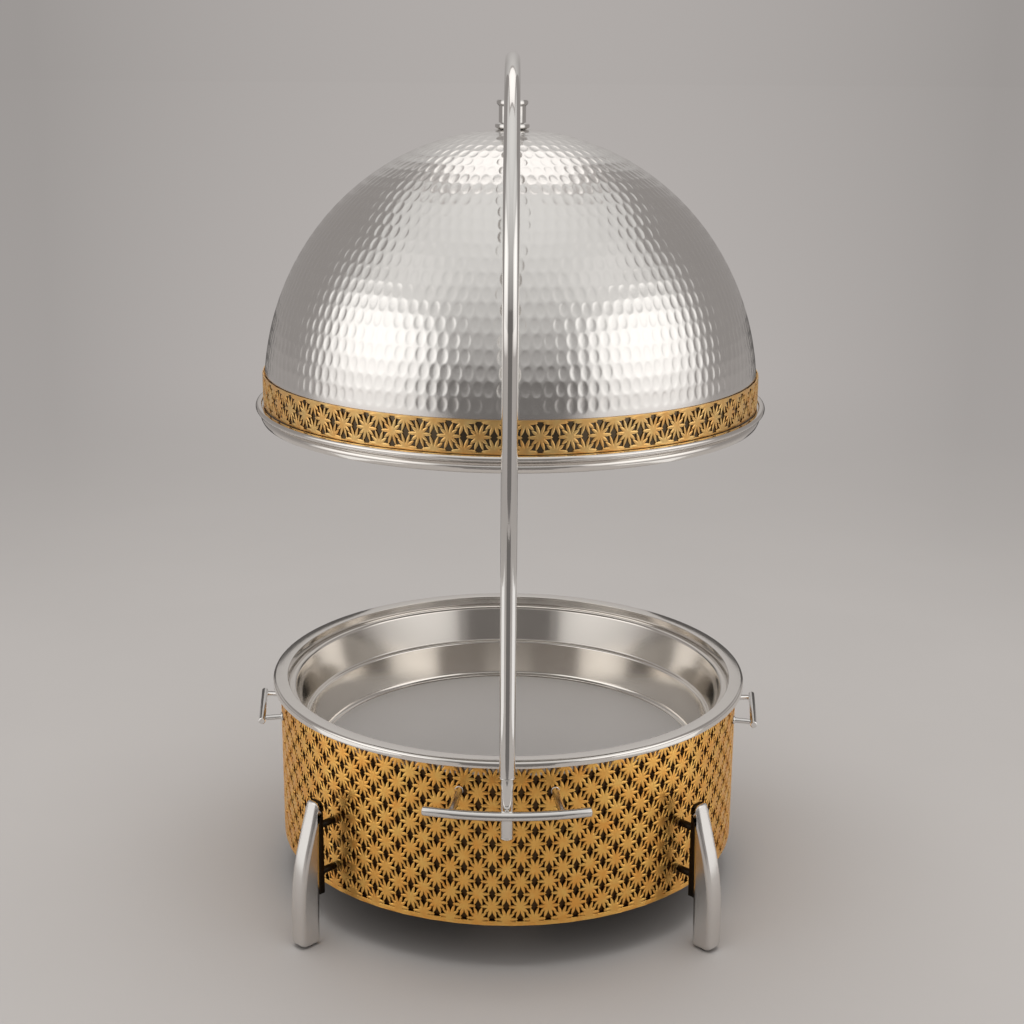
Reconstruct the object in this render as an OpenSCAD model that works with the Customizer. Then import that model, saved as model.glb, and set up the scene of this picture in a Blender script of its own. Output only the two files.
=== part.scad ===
// Round chafing dish on four legs, with a hammered dome lid hung from a swan-neck cane.
// Millimetres. +Z is up and z = 0 is the table. The bowl's axis is x = y = 0.
// The cane stands on the -Y side, where the guest stands.

/* [Bowl] */
// Height of the bowl's rim above the table
rim_z = 194; // [190:1:205]
// Outer radius of the rolled rim
rim_r = 220; // [218:0.5:222]
// Depth of the rim's turned-down lip
rim_lip = 6; // [4:0.5:8]
// Radius of the opening inside the rim
rim_hole_r = 206.5; // [205:0.5:207]
// Outer radius of the pierced gold band
band_r = 213.3; // [213:0.1:215]
// Height of the drum's bottom edge above the table
drum_z = 41; // [35:1:45]
// Thickness of the spun and rolled sheet
sheet = 1.2; // [1:0.1:1.2]

/* [Pans] */
// Depth of the water pan below the rim
water_depth = 107; // [100:1:110]
// Depth of the food pan's floor below the rim
food_depth = 79; // [76:1:82]

/* [Legs] */
// Width of a leg across its outer face
leg_w = 17; // [14:0.5:20]
// Height of a leg's rounded top above the table
leg_top = 133; // [125:1:138]
// Distance of a leg's inner face from the bowl's axis
leg_in_r = 234; // [232:0.5:235]
// Largest distance of a leg's outer face from the bowl's axis
leg_out_r = 258.2; // [256:0.2:260]

/* [Handles] */
// Distance of the side handle bars from the bowl's axis
side_bar_r = 230; // [228:0.5:234]
// Diameter of the side handle bars
side_bar_d = 6.2; // [5:0.2:8]
// Length of the side handle bars
side_bar_len = 75; // [66:1:90]
// Height of the side handle bars below the rim
side_bar_drop = 32; // [28:1:42]
// How far the side handles stand forward of the bowl's middle, in degrees
side_handle_turn = 6; // [0:1:10]
// Diameter of the front bar
front_bar_d = 8; // [7:0.5:9]
// Length of the front bar
front_bar_len = 139; // [120:1:150]
// Height of the front bar below the rim
front_bar_drop = 35; // [33:0.5:40]

/* [Cane] */
// Distance of the cane's post from the bowl's axis
post_r = 238; // [237:0.5:242]
// Outer diameter of the cane tube
tube_d = 13; // [12.6:0.1:14]
// Wall of the cane tube
tube_wall = 1; // [0.9:0.1:1.1]
// Height of the cane's highest centre line above the rim
cane_rise = 554; // [552:1:558]
// Bend radius of the short hook at the cane's end
hook_r = 24; // [22:0.5:24.5]

/* [Lid] */
// Height of the bottom of the lid's rolled bead above the rim
lid_gap = 254.3; // [252:0.1:262]
// Outer radius of the lid's rolled bead
lid_bead_r = 227.5; // [225:0.5:228]
// Radius of the dome at its foot
dome_r = 219.5; // [219:0.1:220]
// Height of the dome above its widest point
dome_h = 229; // [220:1:230]
// Height of the gold band on the lid
lid_band_h = 27.4; // [22:0.2:30]

/* [Hidden] */

steel = [0.80, 0.80, 0.79];
satin = [0.62, 0.61, 0.60];
gold = [0.80, 0.58, 0.27];
dark = [0.30, 0.30, 0.31];
grey = [0.20, 0.20, 0.20];
red = [0.70, 0.16, 0.12];
round_n = 96;      // segments on a large round part
small_n = 48;      // segments on a small round part
gap = 0.3;         // clearance between loose curved faces
run_fit = 0.05;    // radial clearance of a running fit

// Drum and band
drum_r = band_r - 2.5;                  // outer face of the steel drum
drum_top = rim_z - sheet;               // the pan's rim rests here
drum_flange_r = rim_r - sheet - 2;      // reaches under the rim
base_hole_r = 190;                      // opening in the drum's base ring
band_t = 1;                             // thickness of the gold band
band_h = drum_top - sheet - gap - drum_z;

// Pans
ledge_z = rim_z - 10.5;                 // shelf that the food pan rests on
water_r = 201;                          // inner wall of the water pan
water_z = rim_z - water_depth;          // underside of the water pan
food_z = rim_z - food_depth;            // inner floor of the food pan
food_flange_r = rim_hole_r - 1;
food_floor_r = 181.5;                   // flat part of the food pan's floor

// Legs
leg_azimuths = [225, 315, 135, 45];     // front left, front right, rear left, rear right
glide_h = 1;
glide_d = 11;
leg_slope = 16.3;                       // lean of the outer face's upper part
leg_bend_r = 130;                       // radius that blends the lean into the upright foot
leg_top_w = 2.2;                        // half thickness at the rounded top
leg_foot_corner = 4;                    // radius of the foot's inner corner
leg_lean = 3.3;                         // how far a leg's inner face leans out at the foot
bracket_w = 13;
bracket_r = 226;                        // inner face of the plate behind a leg
bracket_z0 = drum_z + 5;                // bottom of that plate
bracket_z1 = leg_top - 0.5;             // its rounded top
bracket_corner = 3;
boss_d = 12;                            // bosses that hold the plate off the drum
screw_d = 6;
hole_d = screw_d + 0.4;
screw_z = [64, 108];                    // heights of the two screws of a leg
head_h = 4;
head_d = 10.5;

// Handles
front_bar_z = rim_z - front_bar_drop;
side_bar_z = rim_z - side_bar_drop;
spigot_d = tube_d - 2 * tube_wall - 2 * run_fit;
front_bar_r = post_r + spigot_d / 2 + front_bar_d / 2 + 0.05;
front_post_az = 10.7;                   // the front bar's supports, either side of the cane
side_post_az = 7.5;                     // the side bars' supports, either side of the middle
side_azimuths = [180 + side_handle_turn, 360 - side_handle_turn];
side_reach = side_bar_r / cos(side_post_az);    // a side bar's centre line at its supports
front_post_z = front_bar_z + 6;         // the front bar's supports, at the drum
post_foot_r = band_r + gap;

// Cane
tube_r = tube_d / 2;
cane_foot_z = rim_z - 4;
spigot_bottom = rim_z - 59;
spigot_top = rim_z + 36;
collar_h = 1.6;
cane_top_z = rim_z + cane_rise;
neck_r = post_r - hook_r;               // large bend of the neck
neck_z = cane_top_z - neck_r;
hook_z = cane_top_z - hook_r;
tube_end_z = hook_z - 4;
bush_flange = 4;
bush_depth = 3;                         // how far the bush reaches into the tube
pin_d = 8;
pin_collar_h = 1.6;

// Lid
bead_z = rim_z + lid_gap;
bead_h = 4.7;
skirt_h = 10;
skirt_r = lid_bead_r - 3.6;
dome_t = 1;
dome_z = bead_z + 12;                   // height of the dome's widest point
dome_top = dome_z + dome_h;
dome_foot = bead_z + sheet + 0.1;
hub_top = dome_top + 24.8;
shank_d = 14;

// Burner
bridge_z = 12;                          // underside of the bridge's seat
bridge_t = 2;
bridge_w = 60;
bridge_half = 70;                       // half length of the seat
cup_r = 48;
cup_h = 30;
can_r = 43;
can_h = 48;
can_mouth_r = 22;
pivot_x = 56;
pivot_d = 5;
cup_z = bridge_z + bridge_t;
can_z = cup_z + sheet + 0.1;
cover_z = can_z + can_h + 2.2;
cover_t = 1.2;
cover_r = 27;

function arc_points(cx, cy, r, a0, a1, n) =
    [for (i = [0:n]) let (a = a0 + (a1 - a0) * i / n) [cx + r * cos(a), cy + r * sin(a)]];

// A solid of revolution about the bowl's axis, from points [radius, height]
module spun(points, n = round_n) {
    rotate_extrude($fn = n) polygon(points);
}

// A rod laid along an arc about the bowl's axis, centred on azimuth az
module arc_bar(r, d, len, az, z) {
    half = len / 2 / r * 180 / PI;
    translate([0, 0, z])
        rotate([0, 0, az - half])
            rotate_extrude(angle = 2 * half, $fn = 360)
                translate([r, 0]) circle(d = d, $fn = 32);
}

// A rod along a radius at azimuth az, from radius r0 at height z0 to radius r1 at height z1
module radial_rod(az, r0, r1, z0, z1, d) {
    lean = atan2(z1 - z0, r1 - r0);
    run = sqrt((r1 - r0) * (r1 - r0) + (z1 - z0) * (z1 - z0));
    rotate([0, 0, az])
        translate([r0, 0, z0])
            rotate([0, 90 - lean, 0])
                cylinder(d = d, h = run, $fn = small_n);
}

// ---------- drum ----------

module leg_holes(d) {
    for (az = leg_azimuths, z = screw_z)
        radial_rod(az, drum_r - 6, band_r + 6, z, z, d);
}

module handle_holes(d) {
    for (side = [-1, 1]) {
        radial_rod(270 + side * front_post_az, drum_r - 6, band_r + 6, front_post_z, front_post_z, d);
        for (az = side_azimuths)
            radial_rod(az + side * side_post_az, drum_r - 6, band_r + 6, side_bar_z, side_bar_z, d);
    }
}

module drum() {
    color(steel)
    difference() {
        spun([
            [drum_r - sheet, drum_z + sheet],
            [drum_r, drum_z + sheet],
            [drum_r, drum_top - sheet],
            [drum_flange_r, drum_top - sheet],
            [drum_flange_r, drum_top],
            [drum_r - sheet, drum_top]
        ]);
        leg_holes(hole_d);
        handle_holes(4.4);
    }
}

module gold_band() {
    color(gold)
    difference() {
        spun([
            [band_r - band_t, drum_z],
            [band_r, drum_z],
            [band_r, drum_z + band_h],
            [band_r - band_t, drum_z + band_h]
        ]);
        leg_holes(hole_d);
        handle_holes(4.4);
    }
}

module drum_base_ring() {
    color(steel)
    difference() {
        spun([
            [base_hole_r, drum_z],
            [band_r - band_t - 0.1, drum_z],
            [band_r - band_t - 0.1, drum_z + sheet],
            [base_hole_r, drum_z + sheet]
        ]);
        bridge_holes();
    }
}

// ---------- pans ----------

module water_pan() {
    color(steel)
    spun([
        [rim_hole_r, rim_z],
        [rim_hole_r, ledge_z],
        [water_r, ledge_z],
        [water_r, water_z + sheet + 8],
        each arc_points(water_r - 8, water_z + sheet + 8, 8, 0, -90, 6),
        [0, water_z + sheet],
        [0, water_z],
        each arc_points(water_r - 8, water_z + sheet + 8, 8 + sheet, -90, 0, 6),
        [water_r + sheet, ledge_z - sheet],
        [rim_hole_r + sheet, ledge_z - sheet],
        [rim_hole_r + sheet, rim_z - sheet],
        [rim_r - sheet, rim_z - sheet],
        [rim_r - sheet, rim_z - rim_lip],
        [rim_r, rim_z - rim_lip],
        each arc_points(rim_r - 2, rim_z - 2, 2, 0, 90, 4)
    ]);
}

module food_pan() {
    top = ledge_z + 2;
    wall = 1;
    fillet = 5;                         // inside radius at the floor
    step_r = 2;                         // radius of the stacking step's two bends
    step_z = rim_z - 43;                // level of the stacking step
    step_x = 189;
    color(steel)
    spun([
        // inside, from the flange down
        each arc_points(food_flange_r - 1.4, top - 1, 1, 0, 90, 4),
        each arc_points(203, top - 4, 4, 90, 170, 6),
        each arc_points(step_x, step_z + step_r, step_r, 0, -90, 4),
        each arc_points(step_x, step_z - step_r, step_r, 90, 180, 4),
        each arc_points(food_floor_r, food_z + fillet, fillet, 0, -90, 6),
        [0, food_z],
        // outside, from the floor up
        [0, food_z - wall],
        each arc_points(food_floor_r, food_z + fillet, fillet + wall, -90, 0, 6),
        each arc_points(step_x, step_z - step_r, step_r - wall, 180, 90, 4),
        each arc_points(step_x, step_z + step_r, step_r + wall, -90, 0, 4),
        [200.2, ledge_z - 1.5],
        [200.4, ledge_z + 0.02],
        [food_flange_r - 0.4, ledge_z + 0.02]
    ]);
}

// ---------- legs ----------

// Outline of a leg in [radius, height], from the foot's inner corner round to the top
function leg_outline() =
    let (
        in_bottom = leg_in_r + leg_lean,
        top_x = leg_in_r + leg_top_w,
        top_z = leg_top - leg_top_w,
        // the lean starts where the line down the top's outer side meets the upright foot
        meet_z = top_z + leg_top_w * sin(leg_slope)
            - (leg_out_r - top_x - leg_top_w * cos(leg_slope)) / tan(leg_slope),
        t = leg_bend_r * tan(leg_slope / 2)
    )
    concat(
        arc_points(in_bottom + leg_foot_corner, glide_h + leg_foot_corner, leg_foot_corner, 180, 270, 5),
        arc_points(leg_out_r - 6, glide_h + 6, 6, 270, 360, 6),
        arc_points(leg_out_r - leg_bend_r, meet_z - t, leg_bend_r, 0, leg_slope, 8),
        arc_points(top_x, top_z, leg_top_w, leg_slope, 178, 8)
    );

module leg(az) {
    color(satin)
    difference() {
        rotate([0, 0, az])
            rotate([90, 0, 0])
                translate([0, 0, -leg_w / 2])
                    linear_extrude(leg_w) polygon(leg_outline());
        for (z = screw_z)
            radial_rod(az, leg_in_r - 4, leg_in_r + 9, z, z, screw_d + 0.2);
        rotate([0, 0, az])
            translate([leg_foot_r(), 0, 0]) cylinder(d = glide_d + 0.2, h = glide_h + 1.5, $fn = small_n);
    }
}

function leg_foot_r() = (leg_in_r + leg_lean + leg_out_r) / 2 - 0.5;

module foot_glides() {
    color(grey)
    for (az = leg_azimuths)
        rotate([0, 0, az])
            translate([leg_foot_r(), 0, 0]) cylinder(d = glide_d, h = glide_h + 1.4, $fn = small_n);
}

// Distance of a leg's inner face from the bowl's axis at height z
function leg_face_r(z) =
    leg_in_r + leg_lean * (leg_top - leg_top_w - z) / (leg_top - leg_top_w - glide_h - leg_foot_corner);

// A plate behind a leg, held off the drum by a boss round each screw
module leg_bracket(az) {
    c = bracket_corner;
    outer_r = leg_in_r - 0.1;
    color(steel)
    difference() {
        union() {
            rotate([0, 0, az])
                rotate([90, 0, 0])
                    translate([0, 0, -bracket_w / 2])
                        linear_extrude(bracket_w)
                            polygon(concat(
                                [[bracket_r, bracket_z0]],
                                [[leg_face_r(bracket_z0) - 0.1, bracket_z0]],
                                [[outer_r, leg_top - leg_top_w]],
                                arc_points(outer_r - c, bracket_z1 - c, c, 0, 90, 5),
                                arc_points(bracket_r + c, bracket_z1 - c, c, 90, 180, 5)
                            ));
            for (z = screw_z) radial_rod(az, band_r + 0.15, bracket_r + 1, z, z, boss_d);
        }
        for (z = screw_z) radial_rod(az, band_r - 1, leg_in_r + 6, z, z, hole_d);
    }
}

module leg_screws() {
    seat_r = drum_r - sheet - 0.1;
    color(dark)
    for (az = leg_azimuths, z = screw_z) {
        radial_rod(az, seat_r, leg_in_r + 6.5, z, z, screw_d);
        radial_rod(az, seat_r - head_h, seat_r, z, z, head_d);
    }
}

// ---------- handles ----------

module side_handle_bar(az) {
    color(steel)
    difference() {
        rotate([0, 0, az])
            translate([side_bar_r, 0, side_bar_z])
                rotate([90, 0, 0]) cylinder(d = side_bar_d, h = side_bar_len, center = true, $fn = small_n);
        for (side = [-1, 1])
            radial_rod(az + side * side_post_az, side_reach - 6, side_reach, side_bar_z, side_bar_z, 3.2);
    }
}

module side_handle_posts(az) {
    color(steel)
    for (side = [-1, 1]) {
        a = az + side * side_post_az;
        face = side_reach - side_bar_d / 2;
        difference() {
            union() {
                radial_rod(a, post_foot_r, face - 0.1, side_bar_z, side_bar_z, 4.6);
                radial_rod(a, face - 0.5, side_reach - 0.2, side_bar_z, side_bar_z, 3);
                radial_rod(a, post_foot_r, post_foot_r + 1.5, side_bar_z, side_bar_z, 8);
            }
            radial_rod(a, post_foot_r - 1, post_foot_r + 6, side_bar_z, side_bar_z, 2.7);
        }
    }
}

module front_bar() {
    color(steel)
    arc_bar(front_bar_r, front_bar_d, front_bar_len, 270, front_bar_z);
}

module front_bar_posts() {
    reach = front_bar_r - front_bar_d / 2 + 0.4;
    color(steel)
    for (side = [-1, 1]) {
        a = 270 + side * front_post_az;
        difference() {
            union() {
                radial_rod(a, post_foot_r + 1, reach, front_post_z, front_bar_z + 0.5, 6);
                radial_rod(a, post_foot_r, post_foot_r + 2, front_post_z, front_post_z, 11);
            }
            radial_rod(a, post_foot_r - 1, post_foot_r + 6, front_post_z, front_post_z, 2.7);
            arc_bar(front_bar_r, front_bar_d + 0.02, front_bar_len, 270, front_bar_z);
        }
    }
}

module small_screw(az, z) {
    radial_rod(az, drum_r - sheet - 0.1, post_foot_r + 5.5, z, z, 2.5);
    radial_rod(az, drum_r - sheet - 2.4, drum_r - sheet - 0.1, z, z, 7);
}

module handle_screws() {
    color(dark)
    for (side = [-1, 1]) {
        small_screw(270 + side * front_post_az, front_post_z);
        for (az = side_azimuths) small_screw(az + side * side_post_az, side_bar_z);
    }
}

// ---------- cane and its spigot ----------

module cane_spigot() {
    color(steel)
    translate([0, -post_r, 0])
        difference() {
            translate([0, 0, spigot_bottom + 2])
                cylinder(d = spigot_d, h = spigot_top - spigot_bottom - 2, $fn = small_n);
            translate([0, 0, spigot_bottom + 1])
                cylinder(d = spigot_d - 3, h = spigot_top - spigot_bottom, $fn = small_n);
        }
}

module spigot_plug() {
    color(steel)
    translate([0, -post_r, 0]) {
        translate([0, 0, spigot_bottom]) cylinder(d1 = spigot_d - 1.6, d2 = spigot_d, h = 0.8, $fn = small_n);
        translate([0, 0, spigot_bottom + 0.8]) cylinder(d = spigot_d, h = 1.2, $fn = small_n);
        translate([0, 0, spigot_bottom + 2]) cylinder(d = spigot_d - 3.1, h = 8, $fn = small_n);
    }
}

module thrust_collar() {
    color(steel)
    translate([0, -post_r, cane_foot_z - collar_h])
        difference() {
            cylinder(d = tube_d, h = collar_h, $fn = small_n);
            translate([0, 0, -1]) cylinder(d = spigot_d + 0.02, h = collar_h + 2, $fn = small_n);
        }
}

// A quarter bend of the cane in the plane x = 0, about the point [cy, cz], from angle a0 on
module quarter_bend(cy, cz, bend_r, a0, r) {
    translate([0, cy, cz])
        rotate([90, 0, 90])
            rotate([0, 0, a0])
                rotate_extrude(angle = 90, $fn = 240)
                    translate([bend_r, 0]) circle(r = r, $fn = small_n);
}

// The cane's whole run as a solid rod of radius r: post, neck, hook and straight end
module cane_run(r, over) {
    translate([0, -post_r, cane_foot_z - over])
        cylinder(r = r, h = neck_z - cane_foot_z + over, $fn = small_n);
    quarter_bend(-hook_r, neck_z, neck_r, 90, r);
    quarter_bend(-hook_r, hook_z, hook_r, 0, r);
    translate([0, 0, tube_end_z - over]) cylinder(r = r, h = hook_z - tube_end_z + over, $fn = small_n);
}

module cane_tube() {
    color(steel)
    difference() {
        cane_run(tube_r, 0);
        cane_run(tube_r - tube_wall, 1);
    }
}

module cane_bush() {
    shank_d = tube_d - 2 * tube_wall - 0.04;
    color(steel)
    translate([0, 0, tube_end_z])
        difference() {
            union() {
                translate([0, 0, -bush_flange]) cylinder(d = tube_d, h = bush_flange, $fn = small_n);
                translate([0, 0, -0.5]) cylinder(d = shank_d, h = bush_depth + 0.5, $fn = small_n);
            }
            translate([0, 0, -bush_flange - 1]) cylinder(d = pin_d + 2 * run_fit, h = 20, $fn = small_n);
        }
}

module swivel_pin() {
    pin_foot = dome_top - 8;
    head_z = tube_end_z + bush_depth + 0.1;
    collar_z = tube_end_z - bush_flange - 0.1 - pin_collar_h;
    color(steel)
    difference() {
        union() {
            translate([0, 0, pin_foot]) cylinder(d = pin_d, h = head_z + 1 - pin_foot, $fn = small_n);
            translate([0, 0, head_z]) cylinder(d = pin_d + 1.6, h = 2, $fn = small_n);
            translate([0, 0, collar_z]) cylinder(d = tube_d - 1, h = pin_collar_h, $fn = small_n);
        }
        translate([0, 0, dome_top + 6]) catch_groove(1.3, pin_d / 2 + 1);
    }
}

// A ring-shaped cutter that leaves a core of radius pin_d / 2 - 1
module catch_groove(h, r) {
    difference() {
        cylinder(r = r, h = h, $fn = small_n);
        translate([0, 0, -1]) cylinder(r = pin_d / 2 - 1, h = h + 2, $fn = small_n);
    }
}

module catch_ring() {
    color(dark)
    translate([0, 0, dome_top + 6.15])
        difference() {
            cylinder(r = pin_d / 2, h = 1, $fn = small_n);
            translate([0, 0, -1]) cylinder(r = pin_d / 2 - 0.95, h = 3, $fn = small_n);
        }
}

// ---------- lid ----------

module lid_hub() {
    body_r = 11.85;
    z0 = dome_top + 0.05;
    color(steel)
    difference() {
        union() {
            spun([
                [0, z0],
                [13, z0],
                each arc_points(13.2, z0 + 2.2, 1.9, -60, 60, 5),
                [12.6, z0 + 4.2],
                [body_r, z0 + 5],
                [body_r, z0 + 18.6],
                [12.4, z0 + 19.4],
                each arc_points(12, z0 + 21.6, 1.75, -60, 60, 5),
                [12.4, hub_top],
                [0, hub_top]
            ], small_n);
            translate([0, 0, dome_top - 16]) cylinder(d = shank_d, h = 17, $fn = small_n);
        }
        translate([0, 0, dome_top - 9]) cylinder(d = pin_d + 2 * run_fit, h = 40, $fn = small_n);
    }
}

module hub_washer() {
    color(steel)
    translate([0, 0, dome_top - dome_t - 2.2])
        difference() {
            cylinder(d = 32, h = 1.5, $fn = small_n);
            translate([0, 0, -1]) cylinder(d = shank_d + 0.3, h = 4, $fn = small_n);
        }
}

module hub_nut() {
    color(steel)
    translate([0, 0, dome_top - dome_t - 2.3 - 8])
        difference() {
            cylinder(d = 24, h = 8, $fn = 6);
            translate([0, 0, -1]) cylinder(d = shank_d + 0.1, h = 10, $fn = small_n);
        }
}

module lid_dome() {
    steps = 24;
    color(steel)
    spun([
        [dome_r, dome_foot],
        for (i = [0:steps - 1]) let (a = 90 * i / steps) [dome_r * cos(a), dome_z + dome_h * sin(a)],
        [shank_d / 2 + 0.4, dome_top],
        [shank_d / 2 + 0.4, dome_top - dome_t],
        for (i = [steps - 1:-1:0]) let (a = 90 * i / steps)
            [(dome_r - dome_t) * cos(a), dome_z + (dome_h - dome_t) * sin(a)],
        [dome_r - dome_t, dome_foot]
    ]);
}

module lid_band() {
    foot = bead_z + bead_h + 0.05;
    color(gold)
    spun([
        [dome_r + 0.4, foot],
        [dome_r + 1.2, foot],
        [dome_r + 1.2, foot + lid_band_h],
        [dome_r + 0.4, foot + lid_band_h]
    ]);
}

module lid_rim() {
    r = bead_h / 2;
    color(steel)
    spun([
        [dome_r - 6, bead_z],
        [skirt_r - sheet, bead_z],
        [skirt_r - sheet, bead_z - skirt_h],
        [skirt_r, bead_z - skirt_h],
        [skirt_r, bead_z],
        each arc_points(lid_bead_r - r, bead_z + r, r, -90, 90, 8),
        [dome_r + 0.1, bead_z + bead_h],
        [dome_r + 0.1, bead_z + sheet],
        [dome_r - 6, bead_z + sheet]
    ]);
}

// ---------- burner ----------

// The burner and its bridge run front to back: local +X points to the rear
module front_to_back() {
    rotate([0, 0, 90]) children();
}

module bridge_profile() {
    foot = base_hole_r + 14;
    polygon([
        [-foot, drum_z - bridge_t], [-foot, drum_z], [-base_hole_r + 6, drum_z],
        [-bridge_half, bridge_z + bridge_t], [bridge_half, bridge_z + bridge_t],
        [base_hole_r - 6, drum_z], [foot, drum_z], [foot, drum_z - bridge_t],
        [base_hole_r - 6, drum_z - bridge_t], [bridge_half + 1, bridge_z], [-bridge_half - 1, bridge_z],
        [-base_hole_r + 6, drum_z - bridge_t]
    ]);
}

module bridge_holes() {
    front_to_back() for (side = [-1, 1], y = [-18, 18])
        translate([side * (base_hole_r + 7), y, drum_z - 4]) cylinder(d = 4.2, h = 10, $fn = small_n);
}

module fuel_bridge() {
    color(steel)
    difference() {
        front_to_back()
            translate([0, bridge_w / 2, 0]) rotate([90, 0, 0]) linear_extrude(bridge_w) bridge_profile();
        bridge_holes();
        translate([0, 0, bridge_z - 1]) cylinder(d = 3.4, h = 6, $fn = small_n);
    }
}

module bridge_screws() {
    color(dark)
    front_to_back() {
        for (side = [-1, 1], y = [-18, 18])
            translate([side * (base_hole_r + 7), y, 0]) {
                translate([0, 0, drum_z - bridge_t - 0.05]) cylinder(d = 4, h = 8, $fn = small_n);
                translate([0, 0, drum_z - bridge_t - 2.45]) cylinder(d = 8, h = 2.4, $fn = small_n);
                translate([0, 0, drum_z + sheet + 0.05]) nut_ring();
            }
        translate([0, 0, bridge_z - 2.2]) cylinder(d = 7, h = 2.15, $fn = small_n);
        translate([0, 0, bridge_z - 1]) cylinder(d = 3, h = 4.2, $fn = small_n);
    }
}

module nut_ring() {
    difference() {
        cylinder(d = 8, h = 3, $fn = 6);
        translate([0, 0, -1]) cylinder(d = 4.1, h = 5, $fn = small_n);
    }
}

module burner_cup() {
    color(steel)
    front_to_back() difference() {
        union() {
            translate([0, 0, cup_z]) cylinder(r = cup_r, h = cup_h, $fn = round_n);
            translate([cup_r - 3, -6, cup_z + cup_h - 10]) cube([pivot_x - cup_r + 3, 12, 10]);
            translate([pivot_x, 0, cup_z + cup_h - 10]) cylinder(r = 6, h = 10, $fn = small_n);
        }
        translate([0, 0, cup_z + sheet]) cylinder(r = cup_r - sheet, h = cup_h, $fn = round_n);
        translate([pivot_x, 0, cup_z]) cylinder(d = pivot_d + 0.04, h = cup_h + 1, $fn = small_n);
        translate([0, 0, cup_z - 1]) cylinder(d = 3.4, h = 4, $fn = small_n);
    }
}

module fuel_can() {
    color(red)
    difference() {
        translate([0, 0, can_z + 0.1]) cylinder(r = can_r, h = can_h - 1.3, $fn = round_n);
        translate([0, 0, can_z + 1]) cylinder(r = can_r - 0.6, h = can_h, $fn = round_n);
    }
}

module fuel_can_lid() {
    color(steel)
    translate([0, 0, can_z + can_h - 1.15])
        difference() {
            cylinder(r = can_r, h = 1.1, $fn = round_n);
            translate([0, 0, -1]) cylinder(r = can_mouth_r, h = 4, $fn = small_n);
        }
}

module cover_pivot() {
    ear_top = cup_z + cup_h;
    stem_z = ear_top - 12;
    color(steel)
    front_to_back() translate([pivot_x, 0, 0]) {
        translate([0, 0, stem_z]) cylinder(d = pivot_d, h = cover_z + 6.5 - stem_z, $fn = small_n);
        translate([0, 0, ear_top]) cylinder(d = pivot_d + 3, h = cover_z - ear_top - 0.2, $fn = small_n);
        translate([0, 0, cover_z + 4.4]) cylinder(d = pivot_d + 3, h = 2.1, $fn = small_n);
    }
}

module burner_cover() {
    color(steel)
    front_to_back() difference() {
        union() {
            translate([0, 0, cover_z]) cylinder(r = cover_r, h = cover_t, $fn = round_n);
            translate([10, -7, cover_z]) cube([pivot_x - 10, 14, cover_t]);
            translate([pivot_x, 0, cover_z]) cylinder(r = 7, h = 4.2, $fn = small_n);
            translate([-cover_r - 46, -6, cover_z]) cube([cover_r + 46 - 18, 12, cover_t]);
        }
        translate([pivot_x, 0, cover_z - 1]) cylinder(d = pivot_d + 2 * run_fit, h = 8, $fn = small_n);
    }
}

module cover_knob() {
    color(dark)
    front_to_back() translate([-cover_r - 39, 0, cover_z + cover_t + 0.02]) {
        cylinder(d = 5, h = 5, $fn = small_n);
        translate([0, 0, 4.5]) cylinder(d = 12, h = 6, $fn = small_n);
    }
}

drum();
gold_band();
drum_base_ring();
water_pan();
food_pan();
leg(leg_azimuths[0]);  // leg_front_left
leg(leg_azimuths[1]);  // leg_front_right
leg(leg_azimuths[2]);  // leg_rear_left
leg(leg_azimuths[3]);  // leg_rear_right
leg_bracket(leg_azimuths[0]);  // bracket_front_left
leg_bracket(leg_azimuths[1]);  // bracket_front_right
leg_bracket(leg_azimuths[2]);  // bracket_rear_left
leg_bracket(leg_azimuths[3]);  // bracket_rear_right
leg_screws();
foot_glides();
side_handle_bar(side_azimuths[0]);  // left_handle_bar
side_handle_bar(side_azimuths[1]);  // right_handle_bar
side_handle_posts(side_azimuths[0]);  // left_handle_posts
side_handle_posts(side_azimuths[1]);  // right_handle_posts
front_bar();
front_bar_posts();
handle_screws();
cane_spigot();
spigot_plug();
thrust_collar();
fuel_bridge();
bridge_screws();
burner_cup();
fuel_can();
fuel_can_lid();
cover_pivot();
burner_cover();
cover_knob();
cane_tube();
cane_bush();
swivel_pin();
catch_ring();
lid_hub();
hub_washer();
hub_nut();
lid_dome();
lid_band();
lid_rim();
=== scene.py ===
"""Looks of the round chafing dish: hammered lid on a swan-neck cane, pierced gold bands, polished pans."""

import math
from collections import defaultdict, namedtuple

import bpy
import numpy as np
from mathutils import Matrix, Vector
from mathutils.geometry import delaunay_2d_cdt


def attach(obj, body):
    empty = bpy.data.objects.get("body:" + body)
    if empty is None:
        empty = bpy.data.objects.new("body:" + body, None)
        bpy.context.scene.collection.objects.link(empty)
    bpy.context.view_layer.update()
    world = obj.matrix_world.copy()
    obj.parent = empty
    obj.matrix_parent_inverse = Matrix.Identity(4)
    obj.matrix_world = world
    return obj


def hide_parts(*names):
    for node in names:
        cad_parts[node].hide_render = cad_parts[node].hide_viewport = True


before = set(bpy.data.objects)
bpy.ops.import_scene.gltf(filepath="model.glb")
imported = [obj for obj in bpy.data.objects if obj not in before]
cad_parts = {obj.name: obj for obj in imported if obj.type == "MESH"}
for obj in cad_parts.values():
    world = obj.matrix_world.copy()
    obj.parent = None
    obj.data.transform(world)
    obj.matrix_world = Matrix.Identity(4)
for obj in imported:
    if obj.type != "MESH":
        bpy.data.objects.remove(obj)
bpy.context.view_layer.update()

MM = 0.001
SEED = 7

# ---------- sizes in millimetres, the same as the part's ----------

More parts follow.
